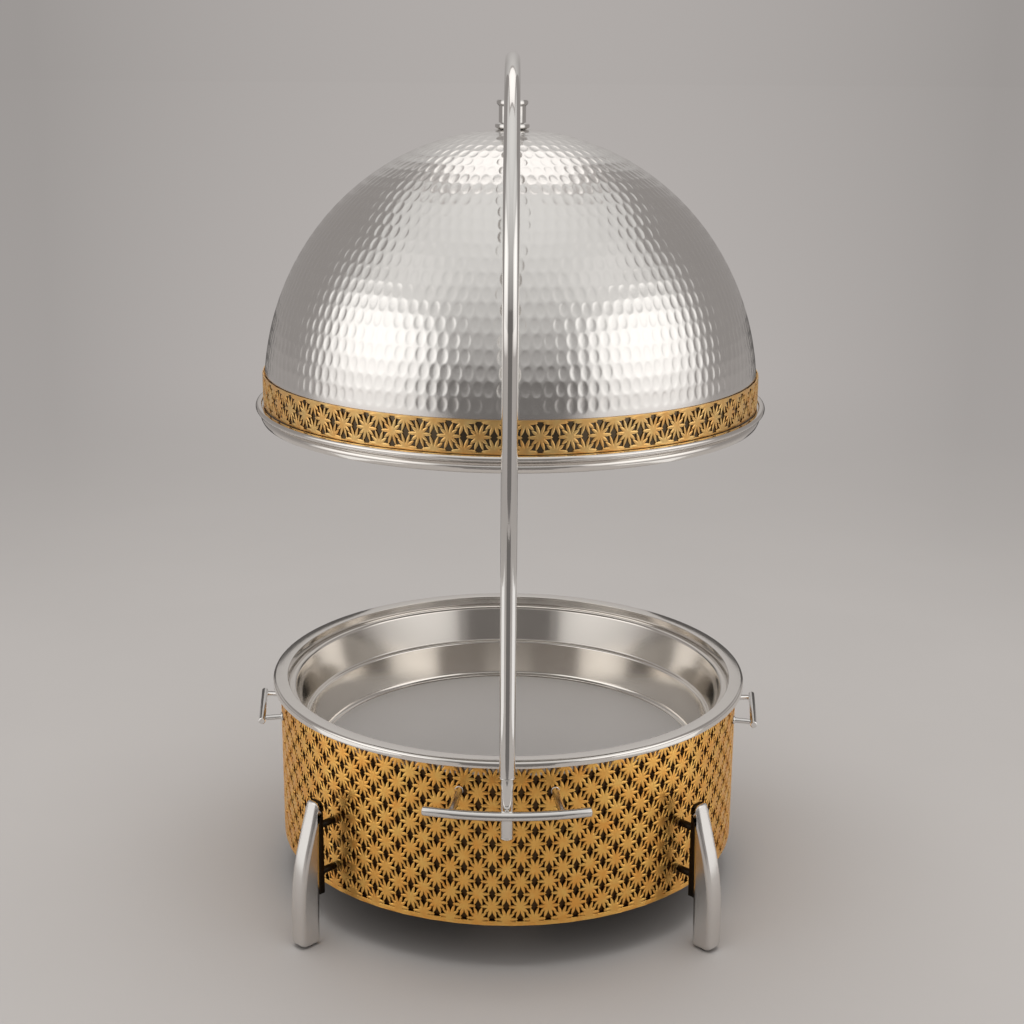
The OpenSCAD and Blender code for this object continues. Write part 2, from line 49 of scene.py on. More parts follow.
SHEET = 1.2
FIT = 0.1
RIM_Z = 194
RIM_R = 220
RIM_HOLE_R = 206.5
RIM_LIP = 6
LEDGE_Z = 183.5
BAND_R = 213.3
BAND_T = 1.0
BAND_TOP = 191.3
DRUM_R = 210.8
DRUM_Z = 41
BASE_RING_R = 190
WATER_R = 201
WATER_Z = 87
FOOD_RIM_R = 205.5
FOOD_WALL_R = 199
FOOD_STEP_R = 191.4
FOOD_STEP_IN_R = 187
FOOD_STEP_Z = 151
FOOD_FLOOR_R = 181.5
FOOD_FLOOR_Z = 115
FOOD_MATT_R = 176.5
FOOD_SHEET = 1

LEG_AZIMUTHS = {"front_left": 225, "front_right": 315, "rear_left": 135, "rear_right": 45}
LEG_W = 17
LEG_TOP = 133
LEG_IN_R = 234
LEG_OUT_R = 258.2
LEG_LEAN = 3.3
LEG_SLOPE = 16.3
LEG_BEND = 220
LEG_HALF_TOP = 2.2
GLIDE_H = 1
SCREW_Z = (64, 108)
BRACKET_W = 13
BRACKET_R = 230
BRACKET_Z = 46
BRACKET_CORNER = 3
BRACKET_TOP = LEG_TOP - 0.5
BOSS_R = 3.2

HANDLE_FOOT_R = BAND_R + 0.3
FRONT_BAR_R = 247.5
FRONT_BAR_D = 8
FRONT_BAR_LEN = 139
FRONT_BAR_Z = 159
FRONT_POST_AZ = 10.7
FRONT_POST_R = 3.3
SIDE_BAR_R = 230
SIDE_BAR_D = 6.2
SIDE_BAR_LEN = 75
SIDE_BAR_Z = 162
SIDE_POST_AZ = 7.5
SIDE_AZIMUTHS = {"left": 186, "right": 354}

POST_R = 238
TUBE_R = 6.5
TUBE_WALL = 1
CANE_FOOT_Z = 190
CANE_TOP_Z = 748
HOOK_R = 24
NECK_R = POST_R - HOOK_R
TUBE_END_Z = 720
SPIGOT_R = 5.45
SPIGOT_BOTTOM = 135
SPIGOT_TOP = 230
PIN_R = 4
PIN_NECK_R = 3

BEAD_Z = 448.3
BEAD_R = 227.5
BEAD_H = 4.7
SKIRT_R = 223.9
SKIRT_H = 10
DOME_R = 219.5
DOME_Z = 460.3
DOME_H = 229
DOME_T = 1
DOME_SKIN = 0.4
DOME_HOLE_R = 7.4
DOME_TOP = DOME_Z + DOME_H
DOME_FOOT = BEAD_Z + SHEET + FIT
LID_BAND_FOOT = BEAD_Z + BEAD_H + 0.05
LID_BAND_H = 27.4
HUB_TOP = DOME_TOP + 24.8

# ---------- mesh helpers: a shape is a pair of vertices in millimetres and faces ----------


def add_piece(name, shape, body, finish, nodes=(), sharp=40):
    """A piece that rides on a body. Its finish is a slot of the record and a material; the slot is not used.
    """
    verts, faces = shape
    slot, material = finish
    mesh = bpy.data.meshes.new(name)
    mesh.from_pydata(np.multiply(verts, MM).tolist(), [], faces)
    mesh.validate()
    mesh.shade_smooth()
    mesh.set_sharp_from_angle(angle=math.radians(sharp))
    mesh.materials.append(material)
    obj = bpy.data.objects.new(name, mesh)
    bpy.context.scene.collection.objects.link(obj)
    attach(obj, body)
    if nodes:
        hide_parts(*nodes)
    return obj


def joined(shapes):
    """Several shapes as one."""
    verts = []
    faces = []
    for v, f in shapes:
        faces.extend([[len(verts) + i for i in face] for face in f])
        verts.extend(np.asarray(v).tolist())
    return verts, faces


def unit(v):
    """A vector, or each row of an array, at length 1."""
    return v / np.linalg.norm(v, axis=-1, keepdims=True)


def rounded(corners, steps):
    """A closed outline with rounded corners, from [x, y, radius] for each corner."""
    out = []
    straight = 1.55
    for i, (*p, size) in enumerate(corners):
        a = np.subtract(corners[i - 1][:2], p)
        b = np.subtract(corners[(i + 1) % len(corners)][:2], p)
        u = unit(a)
        v = unit(b)
        half = 0.5 * math.acos(np.clip(u @ v, -1, 1))
        if size <= 0 or half > straight:
            out.append(p)
            continue
        reach = min(size / math.tan(half), 0.499 * np.linalg.norm(a), 0.499 * np.linalg.norm(b))
        radius = reach * math.tan(half)
        centre = p + unit(u + v) * radius / math.sin(half)
        start = p + u * reach - centre
        end = p + v * reach - centre
        a0 = math.atan2(start[1], start[0])
        turn = (math.atan2(end[1], end[0]) - a0 + math.pi) % (2 * math.pi) - math.pi
        for t in np.linspace(a0, a0 + turn, steps + 1):
            out.append(centre + radius * np.array([math.cos(t), math.sin(t)]))
    return np.array(out)


def around(r, angle, z):
    """Points at a distance from the z axis, an angle in radians and a height."""
    return np.stack(np.broadcast_arrays(r * np.cos(angle), r * np.sin(angle), z), axis=-1)


def polar(az, r, z):
    """One point at an azimuth in degrees."""
    return around(r, math.radians(az), z)


def band_faces(rows, cols, closed=False):
    """Quads between rings of cols vertices. A closed band joins its last ring to its first."""
    r, c = np.meshgrid(np.arange(rows if closed else rows - 1), np.arange(cols), indexing="ij")
    r2 = (r + 1) % rows
    c2 = (c + 1) % cols
    quads = np.stack([r * cols + c, r * cols + c2, r2 * cols + c2, r2 * cols + c], axis=-1)
    return quads.reshape(-1, 4).tolist()


def end_caps(rows, cols):
    """The faces that close the first and the last ring."""
    last = (rows - 1) * cols
    return [list(range(cols))[::-1], list(range(last, last + cols))]


def spun(profile, segments, centre=(0, 0)):
    """A closed outline [radius, z] turned about a vertical axis."""
    profile = np.asarray(profile, dtype=float)
    x, y = profile.T
    if np.sum(x * np.roll(y, -1) - np.roll(x, -1) * y) < 0:
        profile = profile[::-1]
    turn = np.linspace(0, 2 * math.pi, segments, endpoint=False)
    on_axis = 1e-6
    verts = []
    rings = []
    for r, z in profile:
        if abs(r) < on_axis:
            rings.append([len(verts)] * segments)
            verts.append([*centre, z])
        else:
            rings.append(list(range(len(verts), len(verts) + segments)))
            verts.extend((around(r, turn, z) + [*centre, 0]).tolist())
    faces = []
    for a, b in zip(rings, rings[1:] + rings[:1]):
        if a[0] == a[1] and b[0] == b[1]:
            continue
        for quad in zip(a, a[1:] + a[:1], b[1:] + b[:1], b):
            faces.append(list(dict.fromkeys(quad)))
    return verts, faces


def add_turned(name, corners, steps, segments, body, finish, nodes, sharp=40, centre=(0, 0)):
    """A turned piece from its outline's corners, [radius, z, corner radius]."""
    return add_piece(name, spun(rounded(corners, steps), segments, centre), body, finish, nodes, sharp)


def sweep_rings(path, radii, sides):
    """Rings of the given radii round the points of a path."""
    step = unit(np.diff(path, axis=0))
    tangents = unit(np.vstack([step[:1], step[:-1] + step[1:], step[-1:]]))
    side = np.cross(tangents[0], [0, 0, 1])
    if np.linalg.norm(side) < 1e-3:
        side = np.cross(tangents[0], [1, 0, 0])
    angles = np.linspace(0, 2 * math.pi, sides, endpoint=False)[:, None]
    rings = []
    for point, tangent, radius in zip(path, tangents, radii):
        side = unit(side - tangent * (side @ tangent))
        up = np.cross(tangent, side)
        rings.append(point + radius * (np.cos(angles) * side + np.sin(angles) * up))
    return np.array(rings)


def swept(path, radii, sides):
    """A solid rod along a path."""
    verts = sweep_rings(path, radii, sides).reshape(-1, 3)
    return verts, band_faces(len(path), sides) + end_caps(len(path), sides)


def chamfered(points, radius, chamfer):
    """The path and the radii of a rod whose two ends are chamfered."""
    points = np.asarray(points, dtype=float)
    start = unit(points[1] - points[0]) * chamfer
    end = unit(points[-1] - points[-2]) * chamfer
    path = [points[0], points[0] + start, *points[1:-1], points[-1] - end, points[-1]]
    return path, [radius - chamfer] + [radius] * (len(path) - 2) + [radius - chamfer]


def rod(points, radius, chamfer, sides):
    """A solid rod with chamfered ends."""
    return swept(*chamfered(points, radius, chamfer), sides)


# ---------- shader nodes ----------


def add_node(tree, kind, inputs, **settings):
    """A shader node. An input is a plain value or another node's socket."""
    node = tree.nodes.new("ShaderNode" + kind)
    for key, given in settings.items():
        setattr(node, key, given)
    for key, given in inputs.items():
        if isinstance(given, bpy.types.NodeSocket):
            tree.links.new(given, node.inputs[key])
        else:
            node.inputs[key].default_value = given
    return node


def maths(tree, operation, first, second):
    """A Math node on two sockets or plain numbers."""
    return add_node(tree, "Math", {0: first, 1: second}, operation=operation).outputs[0]


def ranged(tree, source, from_lo, from_hi, to_lo, to_hi, curve="LINEAR"):
    """A value moved from one range to another."""
    inputs = {"Value": source, "From Min": from_lo, "From Max": from_hi, "To Min": to_lo, "To Max": to_hi}
    return add_node(tree, "MapRange", inputs, interpolation_type=curve).outputs["Result"]


def spread(tree, source, lo, hi):
    """Maps the middle half of a noise onto lo..hi."""
    return ranged(tree, source, 0.25, 0.75, lo, hi)


def ramp(tree, source, first, last, start=0.0, end=1.0):
    """A colour between two shades as the source goes from start to end."""
    node = add_node(tree, "ValToRGB", {"Fac": source})
    for element, place, colour in zip(node.color_ramp.elements, (start, end), (first, last)):
        element.position = place
        element.color = (*colour, 1)
    return node.outputs["Color"]


def tint(tree, source, dark, light):
    """A colour that a noise moves between two shades."""
    return ramp(tree, source, dark, light, 0.3, 0.7)


def split(tree, vector):
    """The X, Y and Z sockets of a vector."""
    return add_node(tree, "SeparateXYZ", {"Vector": vector}).outputs


def object_place(tree):
    """The object's own coordinates in metres."""
    return add_node(tree, "TexCoord", {}).outputs["Object"]


def from_axis(tree, place):
    """Distance of a place from the z axis."""
    flat = add_node(tree, "CombineXYZ", {"X": place["X"], "Y": place["Y"]})
    return add_node(tree, "VectorMath", {0: flat.outputs[0]}, operation="LENGTH").outputs["Value"]


def noise(tree, scale, detail, stretch=(1, 1, 1)):
    """Noise over the object's own coordinates, stretched along the axes."""
    mapping = add_node(tree, "Mapping", {"Vector": object_place(tree), "Scale": stretch})
    inputs = {"Vector": mapping.outputs[0], "Scale": scale, "Detail": detail}
    return add_node(tree, "TexNoise", inputs).outputs["Fac"]


def ring_noise(tree, scale):
    """Noise by distance from the z axis and height: the lines of a turned part."""
    place = split(tree, object_place(tree))
    join = add_node(tree, "CombineXYZ", {"X": from_axis(tree, place), "Z": place["Z"]})
    inputs = {"Vector": join.outputs[0], "Scale": scale, "Detail": 4.0}
    return add_node(tree, "TexNoise", inputs).outputs["Fac"]


def height_ramp(tree, z, below, above):
    """One colour below a height in metres and another above it, with a 1 mm blend."""
    height = split(tree, object_place(tree))["Z"]
    return ramp(tree, ranged(tree, height, z - 0.0005, z + 0.0005, 0, 1), below, above)


# ---------- materials ----------

# Painted shade: dark bronze for the drum behind the pierced band.
BRONZE_SHADE = (0.075, 0.045, 0.022)
# Painted light: bare steel for the drum's top strip.
LIT_DRUM_STEEL = (0.60, 0.58, 0.55)
# Painted shade: the dome's colour behind the lid's pierced band.
LID_BAND_SHADE = (0.15, 0.115, 0.075)
DOME_STEEL = (0.80, 0.785, 0.765)
RIM_STEEL = (0.79, 0.76, 0.725)
# Painted shade for the water pan's underside.
UNDERSIDE_SHADE = (0.16, 0.14, 0.12)


def new_material(name, colour, roughness, metallic=1.0):
    """A Principled material with plain values, and its node tree."""
    mat = bpy.data.materials.new(name)
    mat.use_nodes = True
    shader = mat.node_tree.nodes["Principled BSDF"]
    values = {"Base Color": (*colour, 1), "Metallic": metallic, "Roughness": roughness}
    for key, given in values.items():
        shader.inputs[key].default_value = given
    return mat, mat.node_tree


def drive(tree, name, socket):
    """Links a socket to the shader's input of that name."""
    tree.links.new(socket, tree.nodes["Principled BSDF"].inputs[name])


def surface(tree, haze, rough_lo, rough_hi, grain, strength, depth):
    """A roughness that the haze moves between two values, and a bump from the grain."""
    drive(tree, "Roughness", spread(tree, haze, rough_lo, rough_hi))
    bump = add_node(tree, "Bump", {"Height": grain, "Strength": strength, "Distance": depth})
    drive(tree, "Normal", bump.outputs["Normal"])


def polished_steel():
    mat, tree = new_material("polished_steel", (0.78, 0.765, 0.745), 0.06)
    surface(tree, noise(tree, 60, 4), 0.04, 0.09, noise(tree, 900, 2), 0.03, 0.0002)
    return mat


def rim_steel():
    """Polished steel with fine turned lines, with painted shade under the water pan that deepens the shadow
    below the bowl.
    """
    mat, tree = new_material("rim_steel", RIM_STEEL, 0.1)
    # Painted shade below this height, on the water pan's underside.
    drive(tree, "Base Color", height_ramp(tree, (WATER_Z + 0.6) * MM, UNDERSIDE_SHADE, RIM_STEEL))
    surface(tree, noise(tree, 60, 4), 0.07, 0.12, ring_noise(tree, 700), 0.12, 0.0003)
    return mat


def pan_steel():
    mat, tree = new_material("pan_steel", (0.76, 0.725, 0.68), 0.1)
    surface(tree, noise(tree, 25, 4), 0.09, 0.15, ring_noise(tree, 2600), 0.06, 0.0002)
    return mat


def pan_floor_steel():
    mat, tree = new_material("pan_floor_steel", (0.81, 0.79, 0.775), 0.7)
    surface(tree, noise(tree, 14, 3), 0.66, 0.74, ring_noise(tree, 1800), 0.1, 0.0002)
    return mat


def hammered_steel():
    """The dome's steel, with painted shade below the top of the lid's pierced band, for the dark seen
    through its holes.
    """
    mat, tree = new_material("hammered_steel", DOME_STEEL, 0.24)
    band_top = (LID_BAND_FOOT + LID_BAND_H - 0.6) * MM
    # Painted shade below this height.
    drive(tree, "Base Color", height_ramp(tree, band_top, LID_BAND_SHADE, DOME_STEEL))
    surface(tree, noise(tree, 35, 4), 0.16, 0.22, noise(tree, 700, 3), 0.06, 0.0003)
    return mat


def satin_steel():
    mat, tree = new_material("satin_steel", (0.74, 0.715, 0.69), 0.24)
    brushed = noise(tree, 700, 3, (1, 1, 0.03))
    surface(tree, noise(tree, 40, 3, (1, 1, 0.3)), 0.19, 0.26, brushed, 0.12, 0.0002)
    return mat


def gold_metal(name, dark, light):
    mat, tree = new_material(name, light, 0.34)
    drive(tree, "Base Color", tint(tree, noise(tree, 90, 4), dark, light))
    brushed = noise(tree, 500, 3, (0.15, 0.15, 3.0))
    surface(tree, noise(tree, 140, 3), 0.28, 0.42, brushed, 0.12, 0.0003)
    return mat


def drum_light_and_shade():
    """Dark bronze satin as painted shade behind the pierced band, and bare steel in its top strip as painted
    light, where light gets in under the rim.
    """
    mat, tree = new_material("drum_light_and_shade", BRONZE_SHADE, 0.38)
    # Painted light above this height, painted shade below it.
    lit_from = 0.178
    drive(tree, "Base Color", height_ramp(tree, lit_from, BRONZE_SHADE, LIT_DRUM_STEEL))
    brushed = noise(tree, 500, 3, (0.1, 0.1, 3.0))
    surface(tree, noise(tree, 50, 3), 0.32, 0.45, brushed, 0.1, 0.0002)
    return mat


def dark_steel(name, colour):
    """Dulled steel of screws, and black steel of brackets whose black is painted shade."""
    mat, tree = new_material(name, colour, 0.32)
    haze = noise(tree, 200, 3)
    surface(tree, haze, 0.25, 0.42, haze, 0.1, 0.0002)
    return mat


def moulded(name, colour, roughness):
    """Moulded plastic or paint with a faint orange peel."""
    mat, tree = new_material(name, colour, roughness, 0.0)
    dark = tuple(c * 0.9 for c in colour)
    light = tuple(min(1.0, c * 1.06) for c in colour)
    drive(tree, "Base Color", tint(tree, noise(tree, 30, 3), dark, light))
    peel = noise(tree, 420, 3)
    surface(tree, peel, roughness - 0.05, roughness + 0.08, peel, 0.15, 0.0003)
    return mat


# ---------- drum and pans ----------


def make_drum(steel):
    lip_r = RIM_R - SHEET - 2
    lip_z = RIM_Z - SHEET - 0.03
    add_turned("drum_shell", [
        [DRUM_R - SHEET, DRUM_Z + SHEET, 0], [DRUM_R, DRUM_Z + SHEET, 0.3],
        [DRUM_R, RIM_Z - 2 * SHEET, 0.4], [lip_r, RIM_Z - 2 * SHEET, 0.3], [lip_r, lip_z, 0.3],
        [DRUM_R - SHEET, lip_z, 0.8],
    ], 3, 360, "base", steel, ["drum"])


def make_base_ring(steel):
    outer = BAND_R - BAND_T - FIT
    # The drum's material makes this ring dark bronze: painted shade that darkens the floor's shadow under
    # the bowl.
    add_turned("base_ring", [
        [BASE_RING_R, DRUM_Z, 0.4], [outer, DRUM_Z, 0], [outer, DRUM_Z + SHEET, 0],
        [BASE_RING_R, DRUM_Z + SHEET, 0.4],
    ], 3, 360, "base", steel, ["drum_base_ring"])


def make_water_pan(steel):
    add_turned("water_pan_shell", [
        [RIM_HOLE_R, RIM_Z, 0.9], [RIM_HOLE_R, LEDGE_Z, 0.5], [WATER_R, LEDGE_Z, 0.8],
        [WATER_R, WATER_Z + SHEET, 8], [0, WATER_Z + SHEET, 0], [0, WATER_Z, 0],
        [WATER_R + SHEET, WATER_Z, 9.2], [WATER_R + SHEET, LEDGE_Z - SHEET, 0.5],
        [RIM_HOLE_R + SHEET, LEDGE_Z - SHEET, 0.5], [RIM_HOLE_R + SHEET, RIM_Z - SHEET, 0.5],
        [RIM_R - SHEET, RIM_Z - SHEET, 1.6], [RIM_R - SHEET, RIM_Z - RIM_LIP, 0.3],
        [RIM_R, RIM_Z - RIM_LIP, 0.4], [RIM_R, RIM_Z, 2.8],
    ], 6, 360, "water_pan", steel, ["water_pan"], 50)


def make_food_pan(steel, floor):
    """The loose pan, with a stacking step in its wall and a matt floor."""
    top = LEDGE_Z + 2
    seat = LEDGE_Z + 0.05
    pan = add_turned("food_pan_shell", [
        [FOOD_RIM_R, seat, 0.3], [FOOD_RIM_R, top, 0.9], [FOOD_WALL_R, top, 3.6],
        [FOOD_STEP_R, FOOD_STEP_Z, 1.4], [FOOD_STEP_IN_R, FOOD_STEP_Z, 2.2],
        [FOOD_FLOOR_R, FOOD_FLOOR_Z, 5], [0, FOOD_FLOOR_Z, 0], [0, FOOD_FLOOR_Z - FOOD_SHEET, 0],
        [FOOD_FLOOR_R + 0.8, FOOD_FLOOR_Z - FOOD_SHEET, 6],
        [FOOD_STEP_IN_R + 0.9, FOOD_STEP_Z - FOOD_SHEET, 1.2],
        [FOOD_STEP_R + 0.9, FOOD_STEP_Z - FOOD_SHEET, 2.4], [FOOD_WALL_R + 1.3, LEDGE_Z - 1.5, 1],
        [FOOD_WALL_R + 1.5, seat, 0.5],
    ], 7, 360, "food_pan", steel, ["food_pan"], 50)
    pan.data.materials.append(floor)
    for poly in pan.data.polygons:
        c = poly.center
        if math.hypot(c.x, c.y) < FOOD_MATT_R * MM and c.z > (FOOD_FLOOR_Z - 0.5) * MM:
            poly.material_index = 1


# ---------- pierced bands ----------

# a star's petals as (angle, length, width), in order of angle: three kinds, mirrored into the other quarters
STAR = sorted({
    (a % 360, length, width)
    for angle, length, width in ((0, 10.1, 0.95), (39, 9.2, 0.88), (72, 11.4, 0.85))
    for a in (angle, 180 - angle, 180 + angle, 360 - angle)
})
# half the width of a petal of width 1, by the share of its length
PETAL_T = (0, 0.2, 0.4, 0.6, 0.7, 0.8, 0.9, 1)
PETAL_W = (0.65, 1.12, 1.6, 1.68, 1.48, 1.12, 0.66, 0)
STAR_CORE = 3
STAR_MERGE = 0.8
LATTICE_ROW = 23.2
LATTICE_CELL = 0.3
RIDGE = 0.07
VALLEY = -0.1
HEM_LINE = -0.22
FAR = 50.0

# One pierced band: the sheet, the columns round it, the first star's height, the hems, how slim the
# petals are, and the bevel at each edge.
Strip = namedtuple(
    "Strip", "radius thick count pitch turn0 star_z z_lo z_hi hem_lo hem_hi slim bevel_w bevel_h")


def petal_field(x, y, angle, length, width):
    """Signed distance (about) to one leaf petal from the origin at the angle, in degrees."""
    a = math.radians(angle)
    along = x * math.cos(a) + y * math.sin(a)
    across = np.abs(-x * math.sin(a) + y * math.cos(a))
    past = along - np.clip(along, 0, length)
    half = width * np.interp(along / length, PETAL_T, PETAL_W)
    slant = 0.92
    return np.where(past == 0, slant * (across - half), np.hypot(past, across))


def star_field(x, y, slim):
    """Signed distance to a ten-petalled star at the origin, negative in the metal."""
    d = np.hypot(x, y) - STAR_CORE
    for angle, length, width in STAR:
        d = np.minimum(d, petal_field(x, y, angle, length, width * slim))
    return d


def star_centres(strip):
    """Stars that reach one pitch: columns a half pitch apart, every other one half a row up."""
    first = math.floor((strip.z_lo - strip.star_z) / LATTICE_ROW) - 1
    last = math.ceil((strip.z_hi - strip.star_z) / LATTICE_ROW) + 1
    out = []
    for column in range(-2, 4):
        x = strip.pitch / 4 + column * strip.pitch / 2
        for row in range(first, last + 1):
            out.append((x, strip.star_z + (row + 0.5 * (column % 2)) * LATTICE_ROW))
    return out


def lattice_field(x, z, strip):
    """Signed distance of a band: stars on a centred lattice, and a plain hem at each edge."""
    d = np.full(np.broadcast(x, z).shape, FAR)
    for cx, cz in star_centres(strip):
        star = star_field(x - cx, z - cz, strip.slim)
        near = np.maximum(STAR_MERGE - np.abs(d - star), 0) / STAR_MERGE
        d = np.minimum(d, star) - near * near * STAR_MERGE / 4
    d = np.minimum(d, z - (strip.z_lo + strip.hem_lo))
    return np.minimum(d, (strip.z_hi - strip.hem_hi) - z)


def relief_lines(strip):
    """Lines of the pressed relief as (points, heights): petal ridges, valleys, hem lines."""
    raw = []
    for cx, cz in star_centres(strip):
        for (angle, length, _), after in zip(STAR, STAR[1:] + STAR[:1]):
            between = angle + (after[0] - angle) % 360 / 2
            ridge = (angle, (1.4, 3.2, 5.2, length * 0.76), (0.02, RIDGE, RIDGE, 0.03))
            valley = (between, (1.6, 2.3, 3.2, 4.3), (-0.02, VALLEY, VALLEY, VALLEY))
            for turn, reach, heights in (ridge, valley):
                turn = math.radians(turn)
                r = np.array(reach)
                raw.append((cx + r * math.cos(turn), cz + r * math.sin(turn), heights))
    x, z, heights = map(np.array, zip(*raw))
    ok = (lattice_field(x, z, strip) < -strip.bevel_w - 0.15) & (x > 0.05) & (x < strip.pitch - 0.05)
    ok &= (z > strip.z_lo + strip.hem_lo + 0.3) & (z < strip.z_hi - strip.hem_hi - 0.3)
    lines = []
    for k, fits in enumerate(ok):
        count = np.argmin([*fits, False])
        if count > 1:
            lines.append((list(zip(x[k, :count], z[k, :count])), heights[k, :count]))
    if strip.hem_lo > 3:
        steps = np.linspace(0, strip.pitch, 7)
        for up, height in ((0.7, 0), (1.1, HEM_LINE), (1.5, 0), (2.3, 0), (2.7, HEM_LINE), (3.1, 0)):
            lines.append(([(x, strip.z_lo + up) for x in steps], [height] * len(steps)))
    return lines


def contours(field, xs, zs, level):
    """Lines where the field crosses a level, by marching squares, and whether each one is a loop."""
    f = field - level
    inside = f < 0
    beside = defaultdict(list)
    count = inside[:-1, :-1].astype(int) + inside[1:, :-1] + inside[:-1, 1:] + inside[1:, 1:]
    for i, j in zip(*np.nonzero((count > 0) & (count < 4))):
        corners = ((i, j), (i + 1, j), (i + 1, j + 1), (i, j + 1))
        sides = zip(corners, corners[1:] + corners[:1])
        edges = [tuple(sorted(side)) for side in sides if inside[side[0]] != inside[side[1]]]
        if len(edges) == 4 and (f[i:i + 2, j:j + 2].mean() < 0) != inside[i, j]:
            edges = [edges[0], edges[3], edges[1], edges[2]]
        for a, b in zip(edges[::2], edges[1::2]):
            beside[a].append(b)
            beside[b].append(a)

    def place(a, b):
        """The crossing point between two grid nodes."""
        t = f[a] / (f[a] - f[b])
        return xs[a[0]] + t * (xs[b[0]] - xs[a[0]]), zs[a[1]] + t * (zs[b[1]] - zs[a[1]])

    lines = []
    todo = set(beside)
    ends = sorted(k for k in beside if len(beside[k]) == 1)
    for start in ends + sorted(beside):
        line = []
        onward = [start] if start in todo else []
        while onward:
            line.append(onward[0])
            todo.discard(onward[0])
            onward = [k for k in beside[onward[0]] if k in todo]
        if len(line) > 4:
            lines.append((np.array([place(*k) for k in line]), line[0] in beside[line[-1]]))
    return lines


def thinned(line):
    """A line without the points that lie close to the straight run between the kept ones."""
    tolerance = 0.05
    run = line[-1] - line[0]
    offset = line[1:-1] - line[0]
    gap = np.abs(offset[:, 0] * run[1] - offset[:, 1] * run[0]) / np.linalg.norm(run)
    if gap.max(initial=0) <= tolerance:
        return line[[0, -1]]
    k = np.argmax(gap) + 1
    return np.vstack([thinned(line[:k + 1])[:-1], thinned(line[k:])])


def strip_mesh(strip):
    """One pitch of the sheet as triangles in the plane, and the height of each point's relief."""
    lo = strip.z_lo
    hi = strip.z_hi
    xs = np.linspace(0, strip.pitch, round(strip.pitch / LATTICE_CELL) + 1)
    zs = np.linspace(lo, hi, round((hi - lo) / LATTICE_CELL) + 1)
    field = lattice_field(*np.meshgrid(xs, zs, indexing="ij"), strip)
    points = []
    heights = []
    edges = []

    def add_line(pts, levels, loop=False):
        base = len(points)
        points.extend([Vector(p) for p in pts])
        heights.extend(levels)
        edges.extend([(base + k, base + k + 1) for k in range(len(pts) - 1)])
        if loop:
            edges.append((base + len(pts) - 1, base))

    for level, height in ((0.0, -strip.bevel_h), (-strip.bevel_w, 0.0)):
        for line, loop in contours(field, xs, zs, level):
            if loop:
                half = len(line) // 2
                back = np.vstack([line[half:], line[:1]])
                line = np.vstack([thinned(line[:half + 1])[:-1], thinned(back)[:-1]])
            else:
                line = thinned(line)
            add_line(line, [height] * len(line), loop)
    for line, levels in relief_lines(strip):
        add_line(line, levels)
    add_line([(0, lo), (strip.pitch, lo), (strip.pitch, hi), (0, hi)], [0.0] * 4, True)
    verts, _, faces, origin, _, _ = delaunay_2d_cdt(points, edges, [], 0, 1e-5)
    relief = [min([heights[k] for k in o], default=0.0) for o in origin]
    v = np.array(verts)
    tris = np.array([f for f in faces if len(f) == 3])
    return v, tris[lattice_field(*v[tris].mean(axis=1).T, strip) < 0], np.array(relief)


def pierced_sheet(strip):
    """The pitch repeated round a cylinder and welded, with its back and the walls of its holes."""
    v, tris, relief = strip_mesh(strip)
    left = np.nonzero(v[:, 0] < 0.002)[0]
    right = np.nonzero(v[:, 0] > strip.pitch - 0.002)[0]
    gap = np.abs(v[right, 1][:, None] - v[left, 1])
    near = gap.min(axis=1) < 0.01
    right = right[near]
    partner = left[gap.argmin(axis=1)[near]]
    tiles = []
    for c in range(strip.count):
        ids = np.arange(len(v)) + c * len(v)
        ids[right] = partner + (c + 1) % strip.count * len(v)
        tiles.append(ids[tris])
    used, tris = np.unique(np.vstack(tiles), return_inverse=True)
    tris = tris.reshape(-1, 3)
    c, k = np.divmod(used, len(v))
    angle = strip.turn0 + (v[k, 0] + strip.pitch * c) / strip.radius
    front = around(strip.radius + relief[k], angle, v[k, 1])
    back = around(strip.radius - strip.thick, angle, v[k, 1])
    n = len(used)
    half = np.vstack([tris[:, [0, 1]], tris[:, [1, 2]], tris[:, [2, 0]]])
    a, b = half[~np.isin(half @ (n, 1), half @ (1, n))].T
    walls = np.stack([b, a, a + n, b + n], axis=1)
    return np.vstack([front, back]), [*tris.tolist(), *(tris[:, ::-1] + n).tolist(), *walls.tolist()]


def make_gold_band(gold):
    count = 56
    strip = Strip(
        radius=BAND_R, thick=BAND_T, count=count, pitch=2 * math.pi * BAND_R / count,
        turn0=math.radians(270) - 1.5 * math.pi / count, star_z=58.5,
        z_lo=DRUM_Z, z_hi=BAND_TOP, hem_lo=4.0, hem_hi=2.2, slim=0.95, bevel_w=0.55, bevel_h=0.28)
    add_piece("gold_pierced_band", pierced_sheet(strip), "base", gold, ["gold_band"], 60)


def make_lid_band(gold):
    count = 58
    radius = DOME_R + 1.2
    top = LID_BAND_FOOT + LID_BAND_H
    strip = Strip(
        radius=radius, thick=0.8, count=count, pitch=2 * math.pi * radius / count,
        turn0=math.radians(270) - 0.5 * math.pi / count, star_z=(LID_BAND_FOOT + top) / 2,
        z_lo=LID_BAND_FOOT, z_hi=top, hem_lo=1.3, hem_hi=1.3, slim=0.86, bevel_w=0.5, bevel_h=0.25)
    add_piece("gold_lid_band", pierced_sheet(strip), "lid", gold, ["lid_band"], 60)


# ---------- legs and their brackets ----------


def arc_2d(cx, cy, r, a0, a1, n):
    """Points of an arc from angle a0 to a1 in degrees."""
    turn = np.radians(np.linspace(a0, a1, n + 1))
    return np.stack([cx + r * np.cos(turn), cy + r * np.sin(turn)], axis=1)


